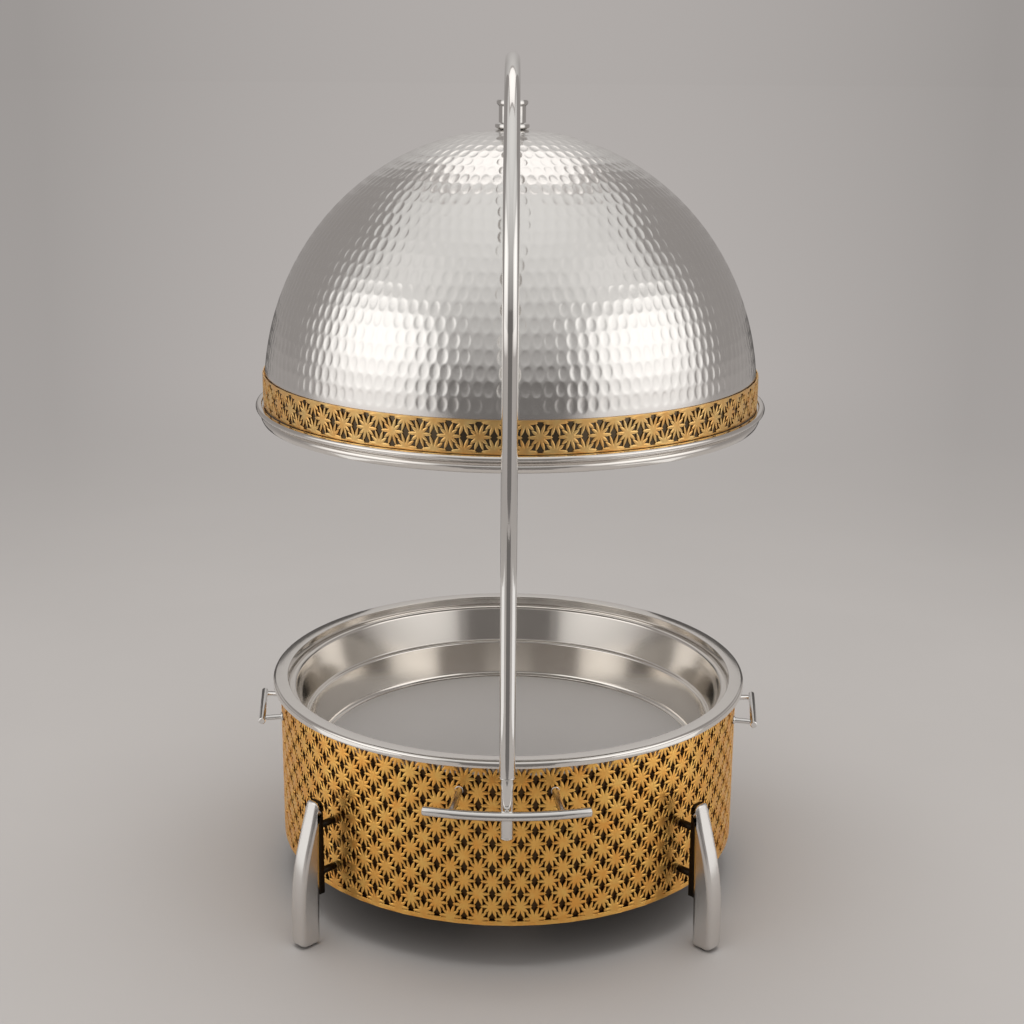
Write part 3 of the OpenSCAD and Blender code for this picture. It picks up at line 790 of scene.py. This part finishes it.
def leg_outline():
    """A leg's side view in [radius, z]."""
    lean = math.radians(LEG_SLOPE)
    top_x = LEG_IN_R + LEG_HALF_TOP
    top_z = LEG_TOP - LEG_HALF_TOP
    run = (LEG_OUT_R - top_x - LEG_HALF_TOP * math.cos(lean)) / math.tan(lean)
    start = top_z + LEG_HALF_TOP * math.sin(lean) - run - LEG_BEND * math.tan(lean / 2)
    return np.vstack([
        arc_2d(LEG_IN_R + LEG_LEAN + 4, GLIDE_H + 4, 4, 180, 270, 8),
        arc_2d(LEG_OUT_R - 6, GLIDE_H + 6, 6, 270, 360, 10),
        arc_2d(LEG_OUT_R - LEG_BEND, start, LEG_BEND, 0, LEG_SLOPE, 14),
        arc_2d(top_x, top_z, LEG_HALF_TOP, LEG_SLOPE, 178, 16),
    ])


def leg_face_r(z):
    """Distance of a leg's inner face from the bowl's axis at height z."""
    top_z = LEG_TOP - LEG_HALF_TOP
    return LEG_IN_R + LEG_LEAN * (top_z - z) / (top_z - GLIDE_H - 4)


def bracket_outline():
    """A bracket plate's side view, against the leg's inner face."""
    c = BRACKET_CORNER
    outer = LEG_IN_R - FIT
    top = BRACKET_TOP
    return np.vstack([
        [[BRACKET_R, BRACKET_Z]],
        [[leg_face_r(BRACKET_Z) - FIT, BRACKET_Z]],
        [[outer, LEG_TOP - LEG_HALF_TOP]],
        arc_2d(outer - c, top - c, c, 0, 90, 8),
        arc_2d(BRACKET_R + c, top - c, c, 90, 180, 8),
    ])


def resampled(outline, step):
    """A closed outline with extra points so that no side is longer than step."""
    out = []
    for a, b in zip(outline, np.roll(outline, -1, axis=0)):
        pieces = max(1, int(math.ceil(np.linalg.norm(b - a) / step)))
        out.extend([a + (b - a) * k / pieces for k in range(pieces)])
    return np.array(out)


def inset_of(offset, half, r):
    """How far an edge rounded to r has fallen back at an offset from the middle."""
    over = max(0.0, abs(offset) - (half - r))
    return r - math.sqrt(max(0.0, r * r - over * over))


def blade(az, outline, width, edge, crown, top_z, top_round):
    """A plate that stands radially, with rounded edges, a crowned outer face and a rounded top."""
    outline = resampled(outline, 2.5)
    n = len(outline)
    tangent = np.roll(outline, -1, axis=0) - np.roll(outline, 1, axis=0)
    normal = unit(tangent)[:, ::-1] * (1, -1)
    outward = np.clip(normal[:, 0], 0, 1)
    half = width / 2
    stations = [half - edge + edge * math.sin(math.radians(a)) for a in (90, 75, 60, 45, 30, 15)]
    stations += [half - edge - (half - edge) * k / 6 for k in range(7)]
    stations += [-s for s in stations[:-1]][::-1]
    radial = polar(az, 1, 0)
    side = polar(az + 90, 1, 0)
    fade = 3.7 * top_round
    weight = np.clip((outline[:, 1] - (top_z - fade)) / fade, 0, 1)
    weight = weight * weight * (3 - 2 * weight)
    verts = []
    for s in stations:
        depth = inset_of(s, half, edge) + crown * (s / half) ** 2 * outward
        p = outline - normal * depth[:, None]
        points = p[:, :1] * radial + s * side
        points[:, 2] = p[:, 1] - inset_of(s, half, top_round) * weight
        verts.extend(points.tolist())
    faces = [f[::-1] for f in band_faces(len(stations), n)]
    return verts, faces + end_caps(len(stations), n)


def make_legs(satin):
    for where, az in LEG_AZIMUTHS.items():
        shape = blade(az, leg_outline(), LEG_W, 3.8, 1.1, LEG_TOP, 6.5)
        add_piece("leg_blade_" + where, shape, "base", satin, ["leg_" + where], 50)


def make_brackets(black):
    """The plate behind each leg, and the two bosses that hold it off the band, in black as painted shade
    between the leg and the band.
    """
    reach = (BAND_R + 0.16, BAND_R + 5, BRACKET_R + 1)
    for where, az in LEG_AZIMUTHS.items():
        plate = blade(az, bracket_outline(), BRACKET_W, 0.7, 0, BRACKET_TOP, 3)
        node = "bracket_" + where
        add_piece("bracket_plate_" + where, plate, "base", black, [node], 50)
        bosses = joined([rod([polar(az, r, z) for r in reach], BOSS_R, 0.4, 40) for z in SCREW_Z])
        add_piece("bracket_bosses_" + where, bosses, "base", black, (), 50)


# ---------- handles ----------


def make_front_bar(steel, dull):
    """The bar round the front, on two sloping posts with a flange each."""
    half = math.degrees(FRONT_BAR_LEN / 2 / FRONT_BAR_R)
    arc = [polar(az, FRONT_BAR_R, FRONT_BAR_Z) for az in np.linspace(270 - half, 270 + half, 49)]
    bar = rod(arc, FRONT_BAR_D / 2, 0.5, 48)
    add_piece("front_bar_rod", bar, "base", steel, ["front_bar"])
    foot = HANDLE_FOOT_R
    reach = FRONT_BAR_R - FRONT_BAR_D / 2 + 0.4
    z0 = FRONT_BAR_Z + 6
    z1 = FRONT_BAR_Z + 0.5
    parts = []
    for side in (-1, 1):
        az = 270 + side * FRONT_POST_AZ
        path = np.linspace(polar(az, foot + 1, z0), polar(az, reach, z1), 5)
        parts.append(swept(path, [FRONT_POST_R] * len(path), 32))
        parts.append(rod([polar(az, foot + k, z0) for k in (0, 1, 2)], FRONT_POST_R + 0.3, 0.3, 40))
    add_piece("front_bar_mounts", joined(parts), "base", dull, ["front_bar_posts"])


def make_side_handles(steel):
    """A straight bar on two posts at each side, a little to the front of the middle."""
    foot = HANDLE_FOOT_R
    reach = SIDE_BAR_R / math.cos(math.radians(SIDE_POST_AZ))
    steps = [foot, foot + 0.4, foot + 1.3, foot + 1.5, foot + 2.2, reach - 3.6, reach - 3]
    sizes = [4.0, 4.0, 3.6, 2.6, 2.3, 2.3, 2.0]
    for name, az in SIDE_AZIMUTHS.items():
        middle = polar(az, SIDE_BAR_R, SIDE_BAR_Z)
        along = polar(az + 90, SIDE_BAR_LEN / 2, 0)
        bar = rod(np.linspace(middle - along, middle + along, 5), SIDE_BAR_D / 2, 0.6, 40)
        add_piece(name + "_handle_rod", bar, "base", steel, [name + "_handle_bar"])
        parts = []
        for side in (-1, 1):
            path = [polar(az + side * SIDE_POST_AZ, r, SIDE_BAR_Z) for r in steps]
            parts.append(swept(path, sizes, 32))
        node = name + "_handle_posts"
        add_piece(name + "_handle_mounts", joined(parts), "base", steel, [node])


# ---------- cane ----------


def cane_centre_line():
    """Centre line of the cane, from its foot to its end."""
    neck_z = CANE_TOP_Z - NECK_R
    hook_z = CANE_TOP_Z - HOOK_R
    pts = [[0, -POST_R, z] for z in np.linspace(CANE_FOOT_Z, neck_z, 13)]
    for a in np.radians(np.linspace(180, 90, 97)[1:]):
        pts.append([0, -HOOK_R + NECK_R * math.cos(a), neck_z + NECK_R * math.sin(a)])
    for a in np.radians(np.linspace(90, 0, 41)[1:]):
        pts.append([0, -HOOK_R + HOOK_R * math.cos(a), hook_z + HOOK_R * math.sin(a)])
    pts.append([0, 0, TUBE_END_Z])
    return np.array(pts)


def make_cane(steel):
    """The open tube: its outside with softened ends, and its bore."""
    line = cane_centre_line()
    outside = sweep_rings(*chamfered(line, TUBE_R, 0.35), 72)
    bore = sweep_rings(line, [TUBE_R - TUBE_WALL] * len(line), 72)
    rings = np.concatenate([outside, bore[::-1]])
    shape = (rings.reshape(-1, 3), band_faces(len(rings), 72, True))
    add_piece("cane_swan_neck", shape, "cane", steel, ["cane_tube"])


def make_spigot(steel):
    """The tube that carries the cane, its bottom plug and the collar under the cane's foot."""
    at = (0, -POST_R)
    bottom = SPIGOT_BOTTOM + 2
    add_turned("spigot_tube", [
        [SPIGOT_R - 1.5, bottom + 0.05, 0], [SPIGOT_R, bottom + 0.05, 0.1],
        [SPIGOT_R, SPIGOT_TOP, 0.6], [SPIGOT_R - 1.5, SPIGOT_TOP, 0.2],
    ], 4, 72, "base", steel, ["cane_spigot"], centre=at)
    add_turned("spigot_end_plug", [
        [0, SPIGOT_BOTTOM, 0], [SPIGOT_R, SPIGOT_BOTTOM, 0.9], [SPIGOT_R, bottom, 0.1],
        [SPIGOT_R - 1.55, bottom, 0], [SPIGOT_R - 1.55, bottom + 8, 0.5], [0, bottom + 8, 0],
    ], 4, 72, "base", steel, ["spigot_plug"], centre=at)
    add_turned("cane_thrust_collar", [
        [SPIGOT_R + 0.01, CANE_FOOT_Z - 1.6, 0], [TUBE_R, CANE_FOOT_Z - 1.6, 0.35],
        [TUBE_R, CANE_FOOT_Z - 0.02, 0.35], [SPIGOT_R + 0.01, CANE_FOOT_Z - 0.02, 0],
    ], 4, 72, "base", steel, ["thrust_collar"], centre=at)


def make_swivel(steel, dark):
    """The bush in the cane's end, the pin that hangs in it and the catch ring on the pin."""
    hole_r = PIN_R + 0.05
    bush_r = 5.48
    flange_z = TUBE_END_Z - 4
    add_turned("cane_end_bush", [
        [hole_r, flange_z, 0.2], [TUBE_R, flange_z, 0.5], [TUBE_R, TUBE_END_Z - 0.02, 0.2],
        [bush_r, TUBE_END_Z - 0.02, 0], [bush_r, TUBE_END_Z + 3, 0.3],
        [hole_r, TUBE_END_Z + 3, 0.2],
    ], 3, 72, "cane", steel, ["cane_bush"])
    head_z = TUBE_END_Z + 3.1
    head_r = 4.8
    neck_z = DOME_TOP + 6
    collar_z = flange_z - FIT
    add_turned("swivel_pin_turned", [
        [0, DOME_TOP - 8, 0], [PIN_R, DOME_TOP - 8, 0.8], [PIN_R, neck_z, 0.1],
        [PIN_NECK_R, neck_z, 0], [PIN_NECK_R, neck_z + 1.3, 0], [PIN_R, neck_z + 1.3, 0.1],
        [PIN_R, collar_z - 1.6, 0], [6, collar_z - 1.6, 0.3], [6, collar_z, 0.3],
        [PIN_R, collar_z, 0], [PIN_R, head_z, 0], [head_r, head_z, 0.2],
        [head_r, head_z + 2, 0.5], [0, head_z + 2, 0],
    ], 3, 64, "swivel", steel, ["swivel_pin"])
    ring_in = PIN_NECK_R + 0.05
    ring_out = PIN_R - 0.02
    ring_z = neck_z + 0.15
    add_turned("swivel_catch_ring", [
        [ring_in, ring_z, 0.2], [ring_out, ring_z, 0.3], [ring_out, ring_z + 1, 0.3],
        [ring_in, ring_z + 1, 0.2],
    ], 3, 64, "swivel", dark, ["catch_ring"])


# ---------- lid ----------


# the dome's angles from its widest point to its top, and the arc length up to each
ARC = np.linspace(0, math.pi / 2, 4000)
RUN = np.append(0, np.cumsum(np.hypot(np.diff(DOME_R * np.cos(ARC)), np.diff(DOME_H * np.sin(ARC)))))


def dimple_depth(run, azimuth, total):
    """Depth of the hammering at an arc length up the meridian and an azimuth."""
    rng = np.random.default_rng(SEED)
    pitch_row = 12.5
    pitch_col = 9.2
    half_w = 3.8
    half_h = 6.2
    depth = 0.31
    first = 30.5
    crown_r = 15
    steep = 1.4
    out = np.zeros(run.shape)
    for k in range(int((total - first) / pitch_row) + 1):
        s0 = first + k * pitch_row
        radius = DOME_R * math.cos(np.interp(s0, RUN, ARC))
        if radius < crown_r:
            break
        count = max(6, int(round(2 * math.pi * radius / pitch_col)))
        wide = half_w * (2 * math.pi * radius / count) / pitch_col
        jitter_s = rng.uniform(-0.4, 0.4, count)
        jitter_a = rng.uniform(-0.4, 0.4, count) / radius
        size = rng.uniform(0.95, 1.06, count)
        deep = rng.uniform(0.85, 1.15, count) * depth
        near = np.abs(run - s0) < half_h + 1.5
        if not near.any():
            continue
        theta = azimuth[near]
        s = run[near]
        local_r = DOME_R * np.cos(np.interp(s, RUN, ARC))
        phase = 0.5 * (k % 2)
        middle = np.floor(theta / (2 * math.pi) * count - phase + 0.5).astype(int)
        best = np.zeros(theta.shape)
        for beside in (-1, 0, 1):
            idx = middle + beside
            own = idx % count
            centre = (idx + phase) * 2 * math.pi / count + jitter_a[own]
            du = (theta - centre) * local_r / (wide * size[own])
            dv = (s - s0 - jitter_s[own]) / (half_h * size[own])
            bowl = np.clip(1 - np.power(du * du + dv * dv, steep), 0, 1)
            best = np.maximum(best, deep[own] * bowl)
        out[near] = np.maximum(out[near], best)
    return out


def dome_arc(inset, end):
    """The dome's meridian moved inwards, as [radius, z] up to the angle end."""
    turn = np.linspace(0, end, 49)
    return np.stack([(DOME_R - inset) * np.cos(turn), DOME_Z + (DOME_H - inset) * np.sin(turn)], axis=1)


def make_dome(steel, inside):
    """The hammered skin, with every dimple in the mesh, and the lining that gives it its thickness."""
    cols = 1500
    rows = 340
    end = math.acos(DOME_HOLE_R / DOME_R)
    total = np.interp(end, ARC, RUN)
    run = np.linspace(0, total, rows)
    angle = np.interp(run, RUN, ARC)[:, None]
    azimuth = np.linspace(0, 2 * math.pi, cols, endpoint=False)
    rg, ag = np.meshgrid(run, azimuth, indexing="ij")
    smooth_top = 20
    depth = dimple_depth(rg.ravel(), ag.ravel(), total - smooth_top).reshape(rg.shape)
    nr = np.cos(angle) / DOME_R
    nz = np.sin(angle) / DOME_H
    size = np.hypot(nr, nz)
    radius = DOME_R * np.cos(angle) - depth * nr / size
    height = DOME_Z + DOME_H * np.sin(angle) - depth * nz / size
    foot = around(DOME_R, azimuth, DOME_FOOT)
    grid = np.concatenate([foot[None], around(radius, ag, height)], axis=0)
    skin = (grid.reshape(-1, 3), band_faces(rows + 1, cols))
    add_piece("dome_hammered_skin", skin, "lid", steel, ["lid_dome"], 80)
    lining = np.vstack([
        [[DOME_R - DOME_SKIN, DOME_FOOT]],
        dome_arc(DOME_SKIN, end),
        dome_arc(DOME_T, end)[::-1],
        [[DOME_R - DOME_T, DOME_FOOT]],
    ])
    add_piece("dome_lining", spun(lining, 256), "lid", inside)


def make_lid_rim(steel):
    """An upper bead beside the band, a groove, and a rolled skirt below it."""
    z = BEAD_Z
    bead_top = z + BEAD_H
    flange_r = DOME_R - 6
    seat_r = DOME_R + FIT
    skirt_in = SKIRT_R - 4.6
    groove_r = SKIRT_R - 3.8
    add_turned("lid_rim_roll", [
        [flange_r, z, 0.3], [skirt_in, z, 0.2], [skirt_in, z - SKIRT_H, 1.2],
        [SKIRT_R - 2.2, z - SKIRT_H, 1.6], [SKIRT_R, z - 5.2, 4.6], [SKIRT_R - 2.4, z - 1.9, 1.0],
        [groove_r, z - 1.9, 0.3], [groove_r, z - 0.1, 0.3], [BEAD_R, z, 2.3],
        [BEAD_R, bead_top, 2.3], [DOME_R + 2.9, bead_top, 0.8],
        [DOME_R + 2.5, bead_top - 1.5, 0.2], [seat_r, bead_top - 1.5, 0.2],
        [seat_r, z + SHEET, 0.2], [flange_r, z + SHEET, 0.3],
    ], 8, 360, "lid", steel, ["lid_rim"], 50)


def make_hub(steel):
    """The turned boss on the dome, and its shank through the dome."""
    z0 = DOME_TOP + 0.05
    bore_r = PIN_R + 0.05
    bore_z = DOME_TOP - 9
    shank_z = DOME_TOP - 16
    add_turned("hub_turned", [
        [bore_r, bore_z, 0], [bore_r, HUB_TOP, 0.5], [12.8, HUB_TOP, 0.7],
        [13.75, HUB_TOP - 1.1, 1.1], [13.75, HUB_TOP - 3.7, 1.1], [12.6, HUB_TOP - 4.6, 0.4],
        [11.85, HUB_TOP - 5.4, 0.5], [11.85, z0 + 5.6, 0.4], [13.2, z0 + 5.0, 0.5],
        [15.05, z0 + 4.2, 1.2], [15.05, z0 + 1.4, 1.2], [13.6, z0 + 0.5, 0.3],
        [12.6, z0, 0.1], [7, z0, 0], [7, shank_z, 0.5],
        [0, shank_z, 0], [0, bore_z, 0],
    ], 6, 96, "lid", steel, ["lid_hub"])


# ---------- carried-over CAD nodes ----------


def dress_nodes(finishes):
    """Materials for the CAD nodes that stay."""
    for material, names in finishes:
        for name in names:
            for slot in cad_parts[name].material_slots:
                slot.material = material


# ---------- studio, in metres ----------

FLOOR_COLOUR = (0.46, 0.441, 0.43)
FLOOR_HALF = 30
HORIZON = (0.434, 0.407, 0.392)
HORIZON_FRONT = 0.62
SKY = 0.84
LAMP = (1.0, 0.985, 0.965)
SIDES = (("left", -1), ("right", 1))
SQUARE = ((-1, -1), (1, -1), (1, 1), (-1, 1))
RIG_R = 1.5
RIG_AZ = 62
PANEL_FOOT = 0.01
CAMERA_X = 0.00227
CAMERA_Y = -1.490
CAMERA_Z = 0.7635
CAMERA_TILT = 74.32
CAMERA_ROLL = 0.44
CAMERA_LENS = 59.13


def side_falloff(tree, across, depth):
    """How much the backdrop darkens towards its sides."""
    slope = maths(tree, "DIVIDE", across, maths(tree, "MAXIMUM", depth, 0.2))
    drop = maths(tree, "MULTIPLY", maths(tree, "MULTIPLY", slope, slope), 3.0)
    return maths(tree, "MAXIMUM", maths(tree, "SUBTRACT", 1.0, drop), 0.77)


def mixed(tree, share, first, second, out):
    """Two shaders mixed by a share into the output node's surface."""
    mix = add_node(tree, "MixShader", {"Fac": share, 1: first.outputs[0], 2: second.outputs[0]})
    tree.links.new(mix.outputs[0], out.inputs["Surface"])


def floor_material():
    """A matt floor that runs out into the backdrop's tone behind the object; far off it glows, with painted
    light towards the camera and painted shade towards the sides.
    """
    mat, tree = new_material("studio_floor", FLOOR_COLOUR, 0.75, 0.0)
    shader = tree.nodes["Principled BSDF"]
    shader.inputs["Specular IOR Level"].default_value = 0.15
    dark = tuple(c * 0.985 for c in FLOOR_COLOUR)
    light = tuple(c * 1.015 for c in FLOOR_COLOUR)
    drive(tree, "Base Color", tint(tree, noise(tree, 3, 4), dark, light))
    place = split(tree, add_node(tree, "NewGeometry", {}).outputs["Position"])
    # Painted light and shade on the far floor's glow: brighter towards the camera, darker towards the sides.
    depth = maths(tree, "MAXIMUM", maths(tree, "SUBTRACT", place["Y"], CAMERA_Y), 1.0)
    near = maths(tree, "ADD", maths(tree, "DIVIDE", 0.41, depth), 1.0)
    strength = maths(tree, "MULTIPLY", near, side_falloff(tree, place["X"], depth))
    tone = add_node(tree, "Emission", {"Color": (*HORIZON, 1), "Strength": strength})
    away = ranged(tree, from_axis(tree, place), 0.8, 2.6, 0, 1, "SMOOTHSTEP")
    mixed(tree, away, shader, tone, tree.nodes["Material Output"])
    return mat


def sheet(name, corners, material):
    """A flat studio surface that isn't part of the object."""
    mesh = bpy.data.meshes.new(name)
    mesh.from_pydata(corners, [], [(0, 1, 2, 3)])
    mesh.materials.append(material)
    obj = bpy.data.objects.new(name, mesh)
    bpy.context.scene.collection.objects.link(obj)
    return obj


def glowing(name, colour, strength):
    """A material that only gives off light."""
    mat = bpy.data.materials.new(name)
    mat.use_nodes = True
    tree = mat.node_tree
    tree.nodes.clear()
    glow = add_node(tree, "Emission", {"Color": (*colour, 1), "Strength": strength})
    add_node(tree, "OutputMaterial", {"Surface": glow.outputs[0]})
    return mat


def panel(name, corners, material):
    """A studio surface that only reflections show."""
    obj = sheet(name, corners, material)
    obj.visible_camera = False
    obj.visible_diffuse = False
    obj.visible_shadow = False


def upright(name, start, end, top, material, foot=PANEL_FOOT):
    """A standing panel above the line from start to end."""
    panel(name, [(*start, foot), (*end, foot), (*end, top), (*start, top)], material)


def make_flags():
    """Dark panels for the dark lines in the polished parts, and low white ones for the legs."""
    dark = glowing("studio_flag", HORIZON, 0.4)
    behind = CAMERA_Y - 0.13
    upright("studio_flag_back", (-0.75, behind), (0.75, behind), 0.8, dark)
    upright("studio_flag_front", (-0.2, -0.62), (0.2, -0.62), 0.28, dark)
    black = glowing("studio_edge_flag", HORIZON, 0.25)
    grey = glowing("studio_side_flag", HORIZON, 0.72)
    white = glowing("studio_card", LAMP, 1.0)
    for name, side in SIDES:
        upright("studio_edge_flag_" + name, (side * 0.60, 0.67), (side * 0.22, 0.87), 0.48, black)
        upright("studio_side_flag_" + name, (side * 1.0, 0.1), (side * 0.43, 0.80), 1.5, grey, 0.52)
        upright("studio_card_" + name, (side * 0.5, -0.55), (side * 0.5, -0.08), 0.19, white)
    tilted = [(x * 0.75, 0.80 + y * 0.47, 2.02 - y * 0.26) for x, y in SQUARE]
    panel("studio_top_frame", tilted, glowing("studio_top_frame", HORIZON, 1.1))


def make_world():
    """Soft light all round, darker in front and brighter overhead."""
    world = bpy.data.worlds.new("studio")
    bpy.context.scene.world = world
    world.use_nodes = True
    tree = world.node_tree
    tree.nodes.clear()
    place = split(tree, add_node(tree, "TexCoord", {}).outputs["Generated"])
    ahead = ranged(tree, place["Y"], -1, 0.3, HORIZON_FRONT, 1)
    strength = maths(tree, "MULTIPLY", ahead, side_falloff(tree, place["X"], place["Y"]))
    low = add_node(tree, "Background", {"Color": (*HORIZON, 1), "Strength": strength})
    high = add_node(tree, "Background", {"Color": (*LAMP, 1), "Strength": SKY})
    out = add_node(tree, "OutputWorld", {})
    mixed(tree, ranged(tree, place["Z"], 0.06, 1, 0, 1), low, high, out)


def soft_edges(light, softness):
    """Fades a lamp from its middle to its edges, as a diffuser does."""
    light.use_nodes = True
    tree = light.node_tree
    place = split(tree, add_node(tree, "NewGeometry", {}).outputs["Parametric"])
    fade = 1.0
    for across in (place["X"], place["Y"]):
        hump = maths(tree, "MULTIPLY", across, maths(tree, "SUBTRACT", 1.0, across))
        fade = maths(tree, "MULTIPLY", maths(tree, "MULTIPLY", hump, 4.0), fade)
    strength = maths(tree, "POWER", fade, softness)
    tree.links.new(strength, tree.nodes["Emission"].inputs["Strength"])


def softbox(name, place, aim, width, height, radiance, softness, highlights=True):
    """A soft area light, of the radiance that a mirror would show of its middle."""
    light = bpy.data.lights.new(name, "AREA")
    light.shape = "RECTANGLE"
    light.size = width
    light.size_y = height
    light.energy = radiance * math.pi * width * height
    light.color = LAMP
    if softness > 0:
        soft_edges(light, softness)
    obj = bpy.data.objects.new(name, light)
    obj.location = place
    obj.rotation_euler = (Vector(aim) - Vector(place)).to_track_quat("-Z", "Y").to_euler()
    obj.visible_camera = False
    obj.visible_diffuse = not highlights
    obj.visible_glossy = highlights
    bpy.context.scene.collection.objects.link(obj)


def make_lights():
    """Soft boxes for the highlights, and one overhead for the floor."""
    x = RIG_R * math.sin(math.radians(RIG_AZ))
    y = -RIG_R * math.cos(math.radians(RIG_AZ))
    nearer = 0.86
    for name, side in SIDES:
        softbox("softbox_" + name, (side * x, y, 0.94), (0, 0, 0.94), 1.9, 1.3, 0.96, 0.5)
        above = (side * x * nearer, y * nearer, 1.75)
        softbox("softbox_upper_" + name, above, (0, 0, 0.6), 1.5, 0.7, 0.16, 0.5)
    softbox("softbox_top", (0, 0.75, 1.95), (0, 0, 0.6), 1.05, 0.85, 0.84, 0.1)
    softbox("overhead", (0, -0.1, 2.2), (0, -0.1, 0), 1.5, 1.5, 4.1, 0, False)


def make_camera():
    data = bpy.data.cameras.new("camera")
    data.sensor_width = 36
    data.lens = CAMERA_LENS
    data.clip_end = 100
    cam = bpy.data.objects.new("camera", data)
    tilt = Matrix.Rotation(math.radians(CAMERA_TILT), 4, "X")
    roll = Matrix.Rotation(math.radians(CAMERA_ROLL), 4, "Z")
    cam.matrix_world = Matrix.Translation((CAMERA_X, CAMERA_Y, CAMERA_Z)) @ tilt @ roll
    bpy.context.scene.collection.objects.link(cam)
    bpy.context.scene.camera = cam


def make_all():
    polished = ("polished_steel", polished_steel())
    rim = ("polished_steel", rim_steel())
    pan = ("pan_steel", pan_steel())
    dark = ("screw_steel", dark_steel("screw_steel", (0.42, 0.42, 0.43)))
    # Black for the brackets: painted shade between the legs and the band.
    black = ("screw_steel", dark_steel("black_painted_shade", (0.025, 0.02, 0.015)))
    satin = satin_steel()
    # The drum and its base ring take painted shade below the drum's top strip, and painted light in it.
    drum = ("polished_steel", drum_light_and_shade())
    make_drum(drum)
    make_base_ring(drum)
    make_water_pan(rim)
    make_food_pan(pan, pan_floor_steel())
    make_gold_band(("gold_band", gold_metal("gold_metal", (0.95, 0.46, 0.105), (0.99, 0.605, 0.17))))
    make_legs(("satin_steel", satin))
    make_brackets(black)
    make_front_bar(polished, ("polished_steel", satin))
    make_side_handles(polished)
    make_cane(polished)
    make_spigot(polished)
    make_swivel(polished, dark)
    make_hub(polished)
    make_dome(("hammered_steel", hammered_steel()), ("pan_steel", bpy.data.materials["pan_steel"]))
    # A lighter copy of the band's gold for the lid band: painted light for the light that falls on the lid.
    make_lid_band(("gold_band", gold_metal("gold_painted_light", (1.0, 0.56, 0.185), (1.0, 0.70, 0.29))))
    make_lid_rim(rim)
    dress_nodes([
        (dark[1], ["leg_screws", "handle_screws", "bridge_screws"]),
        (pan[1], ["fuel_bridge", "burner_cup", "burner_cover", "fuel_can_lid"]),
        (polished[1], ["cover_pivot", "hub_washer", "hub_nut"]),
        (moulded("glide_nylon", (0.05, 0.05, 0.05), 0.5), ["foot_glides"]),
        (moulded("can_paint", (0.45, 0.05, 0.03), 0.3), ["fuel_can"]),
        (moulded("knob_plastic", (0.02, 0.02, 0.022), 0.35), ["cover_knob"]),
    ])


sheet("studio_floor", [(x * FLOOR_HALF, y * FLOOR_HALF, 0) for x, y in SQUARE], floor_material())
make_flags()
make_world()
make_lights()
make_camera()
bpy.context.scene.view_settings.view_transform = "Standard"
make_all()
